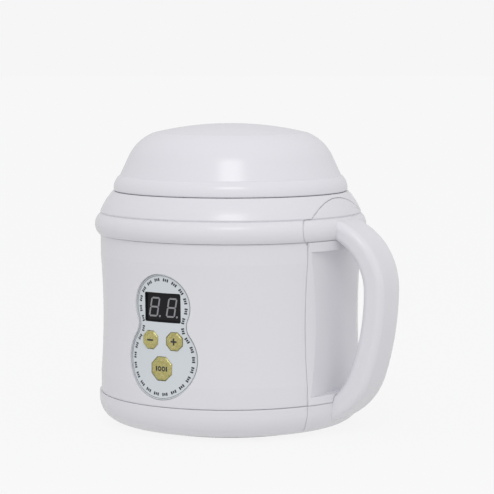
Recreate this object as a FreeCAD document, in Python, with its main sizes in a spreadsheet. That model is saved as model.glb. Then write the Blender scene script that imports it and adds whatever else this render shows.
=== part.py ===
"""A digital yogurt maker with a mug handle, as separate pieces in their real places.

The round housing stands on a rubber ring foot with its axis on Z. The control panel faces -Y, the
handle is on the +X side and the mains inlet is at the back, +Y. Millimetres throughout.
"""
import FreeCAD, Part
import os
import Sketcher
from FreeCAD import Placement, Rotation, Vector

DIMENSIONS = [
    # heights of the stacked housing, from the table up
    ("foot_height", 2.0), ("base_height", 19.5), ("body_height", 103.0), ("band_height", 14.0),
    ("collar_height", 14.0), ("lid_rim_height", 9.9), ("lid_side_height", 11.8), ("lid_crown_height", 21.8),
    # outside radii
    ("shell_radius", 86.5), ("waist_radius", 83.8), ("band_radius", 89.0), ("groove_radius", 85.6),
    ("groove_depth", 0.6), ("rim_radius", 77.2), ("collar_bulge", 1.1), ("base_corner", 15.0), ("lid_radius", 76.6),
    ("lid_neck_radius", 72.5), ("lid_taper", 5.5), ("lid_crown_radius", 50.5), ("lid_crown_rise", 6.0),
    ("lid_shoulder_bulge", 2.25), ("lid_rim_bulge", 1.3),
    # walls, seams and fits
    ("shell_wall", 2.4), ("frame_wall", 3.2), ("lid_wall", 2.0), ("seam_gap", 0.25), ("lid_gap", 0.35),
    ("fit_gap", 0.3), ("lip_height", 2.3), ("lip_wall", 2.0),
    # mouth of the housing
    ("spigot_radius", 71.8), ("spigot_wall", 2.2), ("spigot_height", 2.6), ("ledge_depth", 5.5),
    ("ledge_thick", 2.0), ("ledge_reach", 3.8), ("mouth_ceiling", 3.2),
    # heated well, felt, pot and its lid
    ("well_radius", 64.0), ("well_wall", 1.0), ("well_depth", 107.0), ("well_corner", 8.0),
    ("flange_thick", 1.0), ("gasket_thick", 0.8), ("retainer_thick", 1.6), ("felt_thick", 2.8),
    ("felt_height", 84.0), ("pot_radius", 62.4), ("pot_wall", 0.8), ("pot_depth", 106.0),
    ("pot_rim_thick", 1.4), ("pot_rim_reach", 5.6), ("plug_depth", 7.0), ("pot_lid_thick", 2.0),
    ("knob_radius", 13.0), ("knob_height", 11.0), ("seal_bead", 1.3),
    # lid lining
    ("liner_wall", 1.6), ("liner_taper", 6.5), ("liner_side", 12.4), ("liner_shoulder", 5.0),
    ("lid_seal_thick", 1.6), ("lid_boss_radius", 3.6), ("lid_boss_circle", 40.0),
    # handle
    ("handle_reach", 118.8), ("grip_thick", 14.3), ("grip_level", 71.5), ("outer_top_arc", 46.0),
    ("outer_mid_arc", 172.0), ("outer_low_arc", 48.0), ("inner_top_arc", 35.5), ("inner_mid_arc", 150.0),
    ("inner_low_arc", 40.0), ("root_width", 32.0), ("grip_width", 27.4), ("handle_edge", 4.6),
    ("channel_width", 16.5), ("channel_wall", 2.4), ("cover_thick", 2.0), ("lobe_thick", 1.5),
    ("lobe_half", 36.8), ("lobe_bulge", 4.9), ("arch_half", 32.8), ("arch_height", 11.7),
    ("low_lobe_half", 36.0), ("low_lobe_drop", 15.5), ("low_lobe_round", 12.0), ("corner_hole", 1.0),
    # recessed panel behind the handle
    ("panel_half", 34.8), ("recess_plane", 79.3), ("recess_below", 6.3), ("recess_above", 5.0),
    ("panel_wall", 2.2),
    # front control panel
    ("fascia_top_radius", 20.5), ("fascia_low_radius", 25.4), ("fascia_neck_radius", 10.0),
    ("fascia_pitch", 33.5), ("fascia_level", 29.5), ("fascia_sink", 1.5), ("fascia_wall", 2.0),
    ("fascia_flange", 1.6), ("fascia_flange_thick", 0.8), ("window_width", 26.6), ("window_height", 18.6),
    ("window_corner", 1.2), ("window_drop", 0.8), ("display_width", 25.4), ("display_height", 17.6),
    ("display_depth", 8.1), ("board_face", 72.2), ("board_thick", 1.6), ("board_half_width", 21.0),
    ("board_height", 70.0), ("board_drop", 19.0), ("small_key", 11.3), ("large_key", 14.9),
    ("key_spread", 17.6), ("small_key_level", 11.8), ("large_key_drop", 5.8), ("key_proud", 0.8),
    ("key_gap", 0.25), ("key_flange", 1.2), ("key_flange_thick", 1.0), ("key_travel", 0.6), ("switch_body", 3.5),
    ("switch_height", 4.6), ("switch_side", 6.0), ("post_radius", 2.4), ("screw_radius", 1.3),
    # base
    ("foot_inner", 58.0), ("foot_outer", 64.0), ("foot_sink", 1.5), ("case_screw_circle", 71.0),
    ("case_boss_radius", 4.2), ("case_boss_height", 12.0), ("case_screw_radius", 1.75),
    ("screw_head_radius", 3.2), ("handle_screw_spread", 7.5), ("screw_head", 2.2),
    ("collar_screw_circle", 76.0), ("tab_level", 79.0), ("tab_thick", 3.0),
    ("power_board_length", 78.0), ("power_board_width", 46.0),
    ("power_board_level", 9.0), ("power_board_offset", 25.0), ("vent_length", 14.0), ("vent_width", 2.4),
    # inlet
    ("inlet_width", 23.0), ("inlet_height", 13.0), ("inlet_depth", 17.0), ("inlet_level", 9.6),
    ("inlet_lip", 1.6), ("inlet_socket_radius", 3.75), ("inlet_pin_pitch", 8.6), ("inlet_pin_radius", 1.2),
    ("inlet_socket_depth", 11.0), ("inlet_pin_length", 9.0),
    # wiring
    ("wire_radius", 0.8), ("ribbon_width", 9.0), ("ribbon_thick", 1.2),
    # heater
    ("heater_length", 46.0), ("heater_width", 18.0), ("heater_thick", 5.0), ("clamp_thick", 1.0),
]

doc = FreeCAD.newDocument("yogurt_maker")
sheet = doc.addObject("Spreadsheet::Sheet", "dims")
for row, (alias, number) in enumerate(DIMENSIONS, start=1):
    sheet.set(f"A{row}", alias.replace("_", " "))
    sheet.set(f"B{row}", str(number))
    sheet.setAlias(f"B{row}", alias)
doc.recompute()

# Levels of the stacked housing, as expressions over the sheet.
BASE_Z = "dims.foot_height"
SEAM_Z = f"({BASE_Z} + dims.base_height)"
BAND_Z = f"({SEAM_Z} + dims.body_height)"
GROOVE_Z = f"({BAND_Z} + dims.band_height)"
RIM_Z = f"({GROOVE_Z} + dims.collar_height)"
SPIGOT_Z = f"({RIM_Z} + dims.spigot_height)"
LEDGE_Z = f"({RIM_Z} - dims.ledge_depth)"
LID_Z = f"({RIM_Z} + dims.lid_gap)"
FLANGE_Z = f"({LEDGE_Z} + dims.gasket_thick)"
RETAINER_Z = f"({FLANGE_Z} + dims.flange_thick)"
POT_RIM_Z = f"({RETAINER_Z} + dims.retainer_thick)"
WELL_FLOOR_Z = f"({FLANGE_Z} + dims.flange_thick - dims.well_depth)"
MOUTH_RADIUS = "(dims.spigot_radius - dims.spigot_wall)"

nodes = []


def value(expression):
    """The number that an expression over the sheet stands for."""
    return float(sheet.evalExpression(str(expression)))


def sub_part(label, shape_object):
    """Names an object as one piece of the product and keeps it for export."""
    shape_object.Label = label
    nodes.append(shape_object)
    return shape_object


# ---------------------------------------------------------------- sketches


def pin_point(sketch, geometry, point, across, up):
    """Holds a sketch point at two expressions measured from the sketch origin."""
    for kind, expression, axis in (("DistanceX", across, -2), ("DistanceY", up, -1)):
        if expression == "0":
            sketch.addConstraint(Sketcher.Constraint("PointOnObject", geometry, point, axis))
            continue
        number = sketch.addConstraint(
            Sketcher.Constraint(kind, -1, 1, geometry, point, value(expression)))
        sketch.setExpression(f"Constraints[{number}]", expression)


def draw_loop(sketch, loop):
    """Draws a closed loop. A step is (across, up), or (across, up, via across, via up) for an arc.

    An arc that starts or ends on the upright axis has its centre on that axis too, so that it turns
    into part of a ball with no dimple.
    """
    corners = [Vector(value(step[0]), value(step[1]), 0) for step in loop]
    edges = []
    for index, start in enumerate(corners):
        step = loop[(index + 1) % len(loop)]
        finish = corners[(index + 1) % len(loop)]
        if len(step) == 4:
            via = Vector(value(step[2]), value(step[3]), 0)
            geometry = sketch.addGeometry(Part.Arc(start, via, finish))
            begins = sketch.getPoint(geometry, 1)
            forward = (begins - start).Length < (begins - finish).Length
            if "0" in (step[0], loop[index][0]):
                sketch.addConstraint(Sketcher.Constraint("PointOnObject", geometry, 3, -2))
            else:
                guide = sketch.addGeometry(Part.Point(via), True)
                pin_point(sketch, guide, 1, step[2], step[3])
                sketch.addConstraint(Sketcher.Constraint("PointOnObject", guide, 1, geometry))
            edges.append((geometry, 1 if forward else 2, 2 if forward else 1))
        else:
            edges.append((sketch.addGeometry(Part.LineSegment(start, finish)), 1, 2))
    for index, (geometry, first, last) in enumerate(edges):
        after, after_first, _ = edges[(index + 1) % len(edges)]
        sketch.addConstraint(Sketcher.Constraint("Coincident", geometry, last, after, after_first))
        pin_point(sketch, geometry, first, loop[index][0], loop[index][1])


def sketch_on(body, role, loops):
    """A sketch on one of the body's own origin planes."""
    sketch = body.newObject("Sketcher::SketchObject", body.Name + "_sketch")
    plane = next(f for f in body.Origin.OriginFeatures if f.Role == role)
    sketch.AttachmentSupport = (plane, [""])
    sketch.MapMode = "FlatFace"
    for loop in loops:
        draw_loop(sketch, loop)
    return sketch


def turned(name, *loops):
    """A solid of revolution about Z from closed half sections of (radius, height) steps."""
    body = doc.addObject("PartDesign::Body", name)
    sketch = sketch_on(body, "XZ_Plane", loops)
    feature = body.newObject("PartDesign::Revolution", name + "_turn")
    feature.Profile = (sketch, [""])
    feature.ReferenceAxis = (sketch, ["V_Axis"])
    feature.Angle = 360
    body.Tip = feature
    return body


def prism(name, role, loops, length, symmetric=False, reverse=False):
    """A straight prism from closed loops on an origin plane."""
    body = doc.addObject("PartDesign::Body", name)
    sketch = sketch_on(body, role, loops)
    feature = body.newObject("PartDesign::Pad", name + "_pad")
    feature.Profile = (sketch, [""])
    feature.setExpression("Length", length)
    feature.Midplane = symmetric
    feature.Reversed = reverse
    body.Tip = feature
    return body


# ---------------------------------------------------------------- primitives and booleans

ALONG = {
    "+Z": Rotation(),
    "+X": Rotation(Vector(0, 1, 0), 90),
    "-Y": Rotation(Vector(1, 0, 0), 90),
    "+Y": Rotation(Vector(1, 0, 0), -90),
}


def place(shape_object, x, y, z, turn=None):
    """Puts an object at three expressions, with an optional fixed rotation."""
    if turn is not None:
        shape_object.Placement = Placement(Vector(), turn)
    for axis, expression in zip("xyz", (x, y, z)):
        shape_object.setExpression(f"Placement.Base.{axis}", str(expression))
    return shape_object


def rod(name, radius, length, x="0", y="0", z="0", along="+Z"):
    """A cylinder that starts at a point and runs along an axis."""
    shape_object = doc.addObject("Part::Cylinder", name)
    shape_object.setExpression("Radius", radius)
    shape_object.setExpression("Height", length)
    return place(shape_object, x, y, z, ALONG[along])


def block(name, size, centre):
    """A box of three expressions about a centre point."""
    shape_object = doc.addObject("Part::Box", name)
    for prop, expression in zip(("Length", "Width", "Height"), size):
        shape_object.setExpression(prop, expression)
    corner = [f"({c}) - ({s}) / 2" for c, s in zip(centre, size)]
    return place(shape_object, *corner)


def ring(name, outer, inner, bottom, height):
    """A flat ring about Z."""
    return cut(name, rod(name + "_disc", outer, height, z=bottom),
               rod(name + "_hole", inner, f"({height}) + 2", z=f"({bottom}) - 1"))


def cut(name, base, *tools):
    """base with every tool taken out of it."""
    tool = tools[0] if len(tools) == 1 else join(name + "_tools", *tools)
    feature = doc.addObject("Part::Cut", name)
    feature.Base = base
    feature.Tool = tool
    return feature


def join(name, *pieces):
    feature = doc.addObject("Part::MultiFuse", name)
    feature.Shapes = list(pieces)
    return feature


def group(name, *pieces):
    """Separate solids kept apart in one object."""
    feature = doc.addObject("Part::Compound", name)
    feature.Links = list(pieces)
    return feature


def overlap(name, first, second):
    feature = doc.addObject("Part::Common", name)
    feature.Base = first
    feature.Tool = second
    return feature


def spot(circle, degrees):
    """Expressions for a point on a circle about Z."""
    return f"(({circle}) * cos({degrees}))", f"(({circle}) * sin({degrees}))"


def screw(name, x, y, z, along, length, radius="dims.screw_radius",
          head="dims.screw_head_radius", head_thick="dims.screw_head"):
    """A pan head screw: the head's seat is at the point and the shank runs along the axis."""
    directions = {"+Z": (0, 0, 1), "-Z": (0, 0, -1), "+X": (1, 0, 0), "-X": (-1, 0, 0),
                  "+Y": (0, 1, 0), "-Y": (0, -1, 0)}
    step = directions[along]
    turn = Rotation(Vector(0, 0, 1), Vector(*step))
    seat = [f"({p})" for p in (x, y, z)]
    shank = doc.addObject("Part::Cylinder", name + "_shank")
    shank.setExpression("Radius", radius)
    shank.setExpression("Height", length)
    place(shank, *seat, turn)
    cap = doc.addObject("Part::Cone", name + "_head")
    cap.setExpression("Radius1", f"({head}) * 0.7")
    cap.setExpression("Radius2", head)
    cap.setExpression("Height", head_thick)
    place(cap, *[f"{p} - ({head_thick}) * ({s})" for p, s in zip(seat, step)], turn)
    slot = doc.addObject("Part::Box", name + "_slot")
    slot.setExpression("Length", f"({head}) * 1.1")
    slot.Width = 0.7
    slot.Height = 1.6
    slot.Placement = Placement(Vector(), turn)
    offset = turn.multVec(Vector(-0.5, 0, 0))
    side = turn.multVec(Vector(0, -0.35, 0))
    back = [f"{p} - ({head_thick}) * ({s}) - 0.8 * ({s}) + ({head}) * 1.1 * ({o}) + ({w})"
            for p, s, o, w in zip(seat, step, offset, side)]
    place(slot, *back, turn)
    return cut(name, join(name + "_whole", shank, cap), slot)


# ---------------------------------------------------------------- contours of the outer skin


def body_side(offset):
    """The waisted side of the body, from its lower seam to its upper one."""
    radius = f"dims.shell_radius + ({offset})"
    return [
        (radius, SEAM_Z),
        (radius, BAND_Z, f"dims.waist_radius + ({offset})", f"{SEAM_Z} + dims.body_height / 2"),
    ]


def housing_side(offset):
    """The rounded band, the small notch above it and the sloping collar."""
    return [
        (f"dims.shell_radius - 0.2 + ({offset})", f"{BAND_Z} + dims.seam_gap"),
        (f"dims.groove_radius - dims.groove_depth + ({offset})", GROOVE_Z,
         f"dims.band_radius + ({offset})", f"{BAND_Z} + dims.band_height * 0.46"),
        (f"dims.groove_radius + ({offset})", f"{GROOVE_Z} + 1.5 * dims.groove_depth"),
        (f"dims.rim_radius + ({offset})", RIM_Z,
         f"(dims.groove_radius + dims.rim_radius) / 2 + dims.collar_bulge + ({offset})",
         f"{GROOVE_Z} + dims.collar_height / 2"),
    ]


def base_side(offset):
    """The base from its flat underside round its corner to the lower seam."""
    corner = f"(dims.base_corner + ({offset}))"
    flat = "dims.shell_radius - dims.base_corner"
    centre_z = f"{BASE_Z} + dims.base_corner"
    return [
        (flat, f"{centre_z} - {corner}"),
        (f"{flat} + {corner}", centre_z,
         f"{flat} + {corner} * cos(45)", f"{centre_z} - {corner} * sin(45)"),
        (f"{flat} + {corner}", f"{SEAM_Z} - dims.seam_gap"),
    ]


def backwards(steps):
    """The same path walked the other way."""
    back = []
    for index in range(len(steps) - 1, -1, -1):
        came = steps[index + 1] if index + 1 < len(steps) else ()
        back.append(tuple(steps[index][:2]) + tuple(came[2:]))
    return back


def skin(name, side, outer, inner):
    """A shell between two offsets of one of the contours."""
    return turned(name, side(outer) + backwards(side(inner)))


# ---------------------------------------------------------------- base


def front_circle(angle):
    return spot("dims.case_screw_circle", angle)


CASE_ANGLES = (45, 135, 225, 315)
PAN_FLOOR_Z = f"({BASE_Z} + dims.frame_wall)"


def make_base_pan():
    """Base tray: floor, rounded corner, wall, locating lip, screw posts, board posts and vents."""
    lip_outer = "dims.shell_radius - dims.shell_wall - 2 * dims.fit_gap"
    lip_inner = f"{lip_outer} - dims.lip_wall"
    inside = backwards(base_side("-dims.frame_wall"))
    section = ([("0", BASE_Z)] + base_side("0") + [
        (lip_outer, f"{SEAM_Z} - dims.seam_gap"),
        (lip_outer, f"{SEAM_Z} + dims.lip_height"),
        (lip_inner, f"{SEAM_Z} + dims.lip_height"),
        (lip_inner, f"{SEAM_Z} - dims.seam_gap - 2"),
        ("dims.shell_radius - dims.frame_wall", f"{SEAM_Z} - dims.seam_gap - 3"),
    ] + inside[1:] + [("0", PAN_FLOOR_Z)])
    solid = [turned("pan_section", section)]
    holes = [ring("foot_groove", "dims.foot_outer", "dims.foot_inner", f"{BASE_Z} - 1",
                  "dims.foot_sink + 1")]
    for index, angle in enumerate(CASE_ANGLES):
        x, y = front_circle(angle)
        solid.append(rod(f"pan_post_{index}", "dims.case_boss_radius",
                         f"{SEAM_Z} + dims.lip_height - {BASE_Z} - 1", x, y, f"{BASE_Z} + 1"))
        holes.append(rod(f"pan_screw_hole_{index}", "dims.case_screw_radius + 0.1", "60", x, y,
                         f"{BASE_Z} - 1"))
        holes.append(rod(f"pan_head_hole_{index}", "dims.screw_head_radius + 0.3",
                         "dims.screw_head + 7.2", x, y, f"{BASE_Z} - 1"))
    for index, (across, along) in enumerate(board_corners()):
        solid.append(rod(f"board_post_{index}", "3", f"{BASE_Z} + dims.power_board_level - 3",
                         across, along, "3"))
        holes.append(rod(f"board_pilot_{index}", "dims.screw_radius", "20", across, along,
                         f"{PAN_FLOOR_Z} + 1"))
    for index in range(12):
        slot = doc.addObject("Part::Box", f"vent_{index}")
        slot.setExpression("Length", "dims.vent_length")
        slot.setExpression("Width", "dims.vent_width")
        slot.Height = 10
        turn = Rotation(Vector(0, 0, 1), 30 * index + 15)
        start = turn.multVec(Vector(1, 0, 0))
        side = turn.multVec(Vector(0, 1, 0))
        place(slot, f"36 * ({start.x}) - dims.vent_width / 2 * ({side.x})",
              f"36 * ({start.y}) - dims.vent_width / 2 * ({side.y})", "-1", turn)
        holes.append(slot)
    holes.append(lower_lobe_pocket())
    for index, side in enumerate((-1, 1)):
        holes.append(rod(f"low_handle_hole_{index}", "dims.case_screw_radius + 0.1", "40",
                         "60", f"{side} * dims.handle_screw_spread", LOW_SCREW_Z, "+X"))
        holes.append(rod(f"low_head_flat_{index}", "dims.screw_head_radius + 0.4",
                         f"{HANDLE_SEAT['low']} - 60", "60",
                         f"{side} * dims.handle_screw_spread", LOW_SCREW_Z, "+X"))
    return sub_part("base_pan", cut("base_pan_cut", join("base_pan_body", *solid), *holes))


def board_corners():
    """Screw points of the power board."""
    across = "(dims.power_board_length / 2 - 4)"
    near = "(dims.power_board_offset - dims.power_board_width / 2 + 4)"
    far = "(dims.power_board_offset + dims.power_board_width / 2 - 4)"
    return [(f"-{across}", near), (across, near), (across, far), (f"-{across}", far)]


# ---------------------------------------------------------------- handle

GRIP_Z = f"({SEAM_Z} + dims.grip_level)"
LOW_SCREW_Z = f"({SEAM_Z} - 5)"
HIGH_SCREW_Z = f"({BAND_Z} + dims.band_height * 0.42)"
TURN_HIGH, TURN_MID, TURN_LOW = 72, -19, -66


def at_angle(centre, radius, angle):
    return (f"{centre[0]} + ({radius}) * cos({angle})", f"{centre[1]} + ({radius}) * sin({angle})")


def handle_arcs(reach, top, mid, low, grow, angles):
    """Three tangent arcs down one side of the handle, each grown by the same amount."""
    high, middle, foot = angles
    top_centre = (f"({reach} - {top})", GRIP_Z)
    mid_centre = (f"({reach} - {mid})", GRIP_Z)
    low_centre = (f"({reach} - {mid} + ({mid} - {low}) * cos({middle}))",
                  f"({GRIP_Z} + ({mid} - {low}) * sin({middle}))")
    return [
        at_angle(top_centre, f"{top} + ({grow})", high),
        at_angle(top_centre, f"{top} + ({grow})", 0) + at_angle(top_centre, f"{top} + ({grow})", high / 2),
        at_angle(mid_centre, f"{mid} + ({grow})", middle)
        + at_angle(mid_centre, f"{mid} + ({grow})", middle / 2),
        at_angle(low_centre, f"{low} + ({grow})", foot)
        + at_angle(low_centre, f"{low} + ({grow})", (middle + foot) / 2),
    ]


def outer_arcs(grow, angles=(TURN_HIGH, TURN_MID, TURN_LOW)):
    return handle_arcs("dims.handle_reach", "dims.outer_top_arc", "dims.outer_mid_arc",
                       "dims.outer_low_arc", grow, angles)


def inner_arcs(grow, angles=(62, -20.5, -58)):
    return handle_arcs("(dims.handle_reach - dims.grip_thick)", "dims.inner_top_arc",
                       "dims.inner_mid_arc", "dims.inner_low_arc", grow, angles)


def make_grip():
    """The solid grip: a curved bar, waisted in width, with rounded long edges."""
    outer = outer_arcs("0")
    inner = backwards(inner_arcs("0"))
    inside = "dims.shell_radius - 9"
    loop = outer + [(inside, outer[-1][1]), (inside, inner[0][1])] + inner + [
        (inside, inner[-1][1]), (inside, outer[0][1])]
    body = prism("grip_bar", "XZ_Plane", [loop], "dims.root_width + 6", symmetric=True)
    loops = []
    for side in (-1, 1):
        far = f"{side} * (dims.root_width / 2 + 8)"
        near = f"{side} * (dims.root_width / 2 + 1.2)"
        loops.append([(near, "-5", f"{side} * dims.grip_width / 2", f"({RIM_Z} - 5) / 2"),
                      (far, "-5"), (far, RIM_Z), (near, RIM_Z)])
    sketch = sketch_on(body, "YZ_Plane", loops)
    waist = body.newObject("PartDesign::Pocket", "grip_waist")
    waist.Profile = (sketch, [""])
    waist.Type = 1
    waist.Midplane = True
    body.Tip = waist
    doc.recompute()
    long_edges = [
        f"Edge{number}" for number, edge in enumerate(waist.Shape.Edges, start=1)
        if edge.BoundBox.YLength < 8 and edge.BoundBox.XMax > value("dims.shell_radius - 2")
        and edge.Length > 8
    ]
    rounding = body.newObject("PartDesign::Fillet", "grip_rounding")
    rounding.Base = (waist, long_edges)
    rounding.setExpression("Radius", "dims.handle_edge")
    body.Tip = rounding
    return body


def handle_core():
    """What the handle must not reach into: the housing a little inside or outside its skin."""
    sink = "-1"
    steps = ([("0", f"{BASE_Z} + 1")] + base_side(sink) + body_side("dims.fit_gap")
             + housing_side(sink) + [("0", RIM_Z)])
    return turned("handle_core", steps)


def upper_lobe_prism(name, grow):
    """The arched pad of the handle on the band and collar, seen from the side."""
    half = f"(dims.lobe_half + {grow})"
    foot = f"(dims.arch_half + {grow})"
    foot_z = f"({GROOVE_Z} + {grow})"
    bulge = f"({half} + dims.lobe_bulge)"
    bulge_z = f"({BAND_Z} + dims.band_height / 2)"
    return prism(name, "YZ_Plane", [[
        (f"-{half}", f"{BAND_Z} - 3"),
        (half, f"{BAND_Z} - 3"),
        (half, f"{BAND_Z} + 0.2"),
        (foot, foot_z, bulge, bulge_z),
        (f"-{foot}", foot_z, "0", f"{GROOVE_Z} + dims.arch_height + {grow}"),
        (f"-{half}", f"{BAND_Z} + 0.2", f"-{bulge}", bulge_z),
    ]], "120")


def lower_lobe_prism(name, grow):
    """The lower pad on the base: upright sides that round in under the base."""
    half = f"(dims.low_lobe_half + {grow})"
    flat = f"({half} - dims.low_lobe_round)"
    side = f"({half} - dims.low_lobe_round * 0.22)"
    turn_z = f"({BASE_Z} - 2 + dims.low_lobe_drop)"
    side_z = f"({BASE_Z} + 4.5 - {grow})"
    low_z = f"({BASE_Z} - 1.5 - {grow})"
    return prism(name, "YZ_Plane", [[
        (f"-{half}", f"{SEAM_Z} + 3"),
        (f"-{half}", turn_z),
        (f"-{flat}", low_z, f"-{side}", side_z),
        (flat, low_z),
        (half, turn_z, side, side_z),
        (half, f"{SEAM_Z} + 3"),
    ]], "120")


def upper_lobe_pocket():
    """The rebate in the housing that takes the handle's upper pad."""
    zone = skin("upper_pocket_zone", housing_side, "1.5", "-dims.lobe_thick - 0.1")
    return overlap("upper_lobe_pocket", zone, upper_lobe_prism("upper_pocket_prism", "dims.seam_gap"))


def lower_lobe_pocket():
    """The rebate in the base that takes the handle's lower pad."""
    zone = skin("lower_pocket_zone", base_side, "1.5", "-dims.lobe_thick - 0.1")
    reach = block("lower_pocket_reach", ("60", "100", "60"), ("95", "0", "15"))
    kept = overlap("lower_pocket_kept", zone, reach)
    return overlap("lower_lobe_pocket", kept, lower_lobe_prism("lower_pocket_prism", "dims.seam_gap"))


def make_handle():
    """Outer handle moulding with both pads, its finger-side cover and its screws."""
    grip = cut("grip_trimmed", make_grip(), handle_core())
    upper = overlap("upper_lobe", skin("upper_lobe_skin", housing_side, "0", "-dims.lobe_thick"),
                    upper_lobe_prism("upper_lobe_outline", "0"))
    lower_zone = overlap("lower_lobe_zone", skin("lower_lobe_skin", base_side, "0", "-dims.lobe_thick"),
                         block("lower_lobe_reach", ("60", "100", "60"), ("95", "0", "15")))
    lower = overlap("lower_lobe", lower_zone, lower_lobe_prism("lower_lobe_outline", "0"))
    channel_angles = (46, TURN_MID, -32)
    finger_angles = (44, -20.5, -32)
    channel_loop = outer_arcs("-dims.channel_wall", channel_angles) + backwards(
        inner_arcs("-2", finger_angles))
    channel = prism("handle_channel", "XZ_Plane", [channel_loop], "dims.channel_width", symmetric=True)
    holes = [channel]
    screws = []
    for index, side in enumerate((-1, 1)):
        for level, z in (("low", LOW_SCREW_Z), ("high", HIGH_SCREW_Z)):
            y = f"{side} * dims.handle_screw_spread"
            holes.append(rod(f"handle_pilot_{level}_{index}", "dims.case_screw_radius",
                             f"{HANDLE_SHANK[level]} + 0.6", HANDLE_SEAT[level], y, z, "+X"))
            screws.append(screw(f"handle_screw_{level}_{index}", HANDLE_SEAT[level], y, z, "+X",
                                HANDLE_SHANK[level], "dims.case_screw_radius"))
    whole = join("handle_whole", grip, upper, lower)
    sub_part("handle_shell", cut("handle_shell_cut", whole, *holes))
    gap = "dims.fit_gap"
    cover_loop = inner_arcs("dims.cover_thick", (42.5, -20.5, -30)) + backwards(
        inner_arcs("0", (42.5, -20.5, -30)))
    sub_part("handle_cover", prism("handle_cover_strip", "XZ_Plane", [cover_loop],
                                   f"dims.channel_width - {gap}", symmetric=True))
    sub_part("handle_screws", group("handle_screw_group", *screws))


HANDLE_SEAT = {"low": "dims.shell_radius - 6", "high": "dims.band_radius - 5.6"}
HANDLE_SHANK = {"low": "6", "high": "10"}


# ---------------------------------------------------------------- body, collar and back panel


def side_box(name, half, low, high):
    return block(name, ("60", f"2 * ({half})", f"({high}) - ({low})"),
                 ("100", "0", f"(({high}) + ({low})) / 2"))


def make_body_shell():
    """Waisted outer shell, open where the handle panel, the fascia and the inlet sit."""
    solid = [skin("body_skin", body_side, "0", "-dims.shell_wall")]
    holes = [
        block("handle_window", ("80", "2 * (dims.panel_half + dims.fit_gap)", "dims.body_height + 10"),
              ("90", "0", f"{SEAM_Z} + dims.body_height / 2")),
        prism("fascia_hole", "XZ_Plane", [gourd("0")], "120"),
        block("inlet_hole", ("dims.inlet_width + 2 * dims.inlet_lip + 2 * dims.fit_gap", "40",
                             "dims.inlet_height + dims.inlet_lip + 2 * dims.fit_gap"),
              ("0", "90", f"{SEAM_Z} + dims.inlet_level + dims.inlet_lip / 2")),
    ]
    clear = ring("shell_boss_trim", "dims.shell_radius + 20", "dims.shell_radius - 1.2", "0", "160")
    for index, angle in enumerate(CASE_ANGLES):
        x, y = front_circle(angle)
        boss_z = f"{SEAM_Z} + dims.lip_height + dims.fit_gap"
        solid.append(rod(f"case_boss_{index}", "dims.case_boss_radius", "dims.case_boss_height",
                         x, y, boss_z))
        holes.append(rod(f"case_pilot_{index}", "dims.case_screw_radius", "dims.case_boss_height - 1",
                         x, y, f"{boss_z} - 1"))
        solid.append(spoke(f"case_rib_{index}", angle, "dims.case_screw_circle + 3",
                           "dims.shell_radius - 1.6", "2.4", boss_z, "dims.case_boss_height"))
        tab_x, tab_y = spot("dims.collar_screw_circle", angle)
        solid.append(spoke(f"collar_tab_{index}", angle, "dims.collar_screw_circle - 4",
                           "dims.shell_radius - 2.4", "9", f"{SEAM_Z} + dims.tab_level",
                           "dims.tab_thick"))
        holes.append(rod(f"tab_hole_{index}", "dims.case_screw_radius + 0.1", "20", tab_x, tab_y,
                         f"{SEAM_Z} + dims.tab_level - 2"))
    holes += [clear] + corner_holes("shell")
    sub_part("body_shell", cut("body_shell_cut", join("body_shell_solid", *solid), *holes))


def corner_holes(name):
    """The small round drain holes where the panel's upright seams meet the upper seam."""
    return [rod(f"{name}_corner_hole_{index}", "dims.corner_hole", "60", "60",
                f"{side} * (dims.panel_half + dims.fit_gap / 2)", f"{BAND_Z} - dims.corner_hole", "+X")
            for index, side in enumerate((-1, 1))]


def spoke(name, angle, near, far, width, bottom, height):
    """A box that points outwards from the axis."""
    shape_object = doc.addObject("Part::Box", name)
    shape_object.setExpression("Length", f"({far}) - ({near})")
    shape_object.setExpression("Width", width)
    shape_object.setExpression("Height", height)
    turn = Rotation(Vector(0, 0, 1), angle)
    out = turn.multVec(Vector(1, 0, 0))
    side = turn.multVec(Vector(0, 1, 0))
    return place(shape_object, f"({near}) * ({out.x}) - ({width}) / 2 * ({side.x})",
                 f"({near}) * ({out.y}) - ({width}) / 2 * ({side.y})", bottom, turn)


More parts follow.
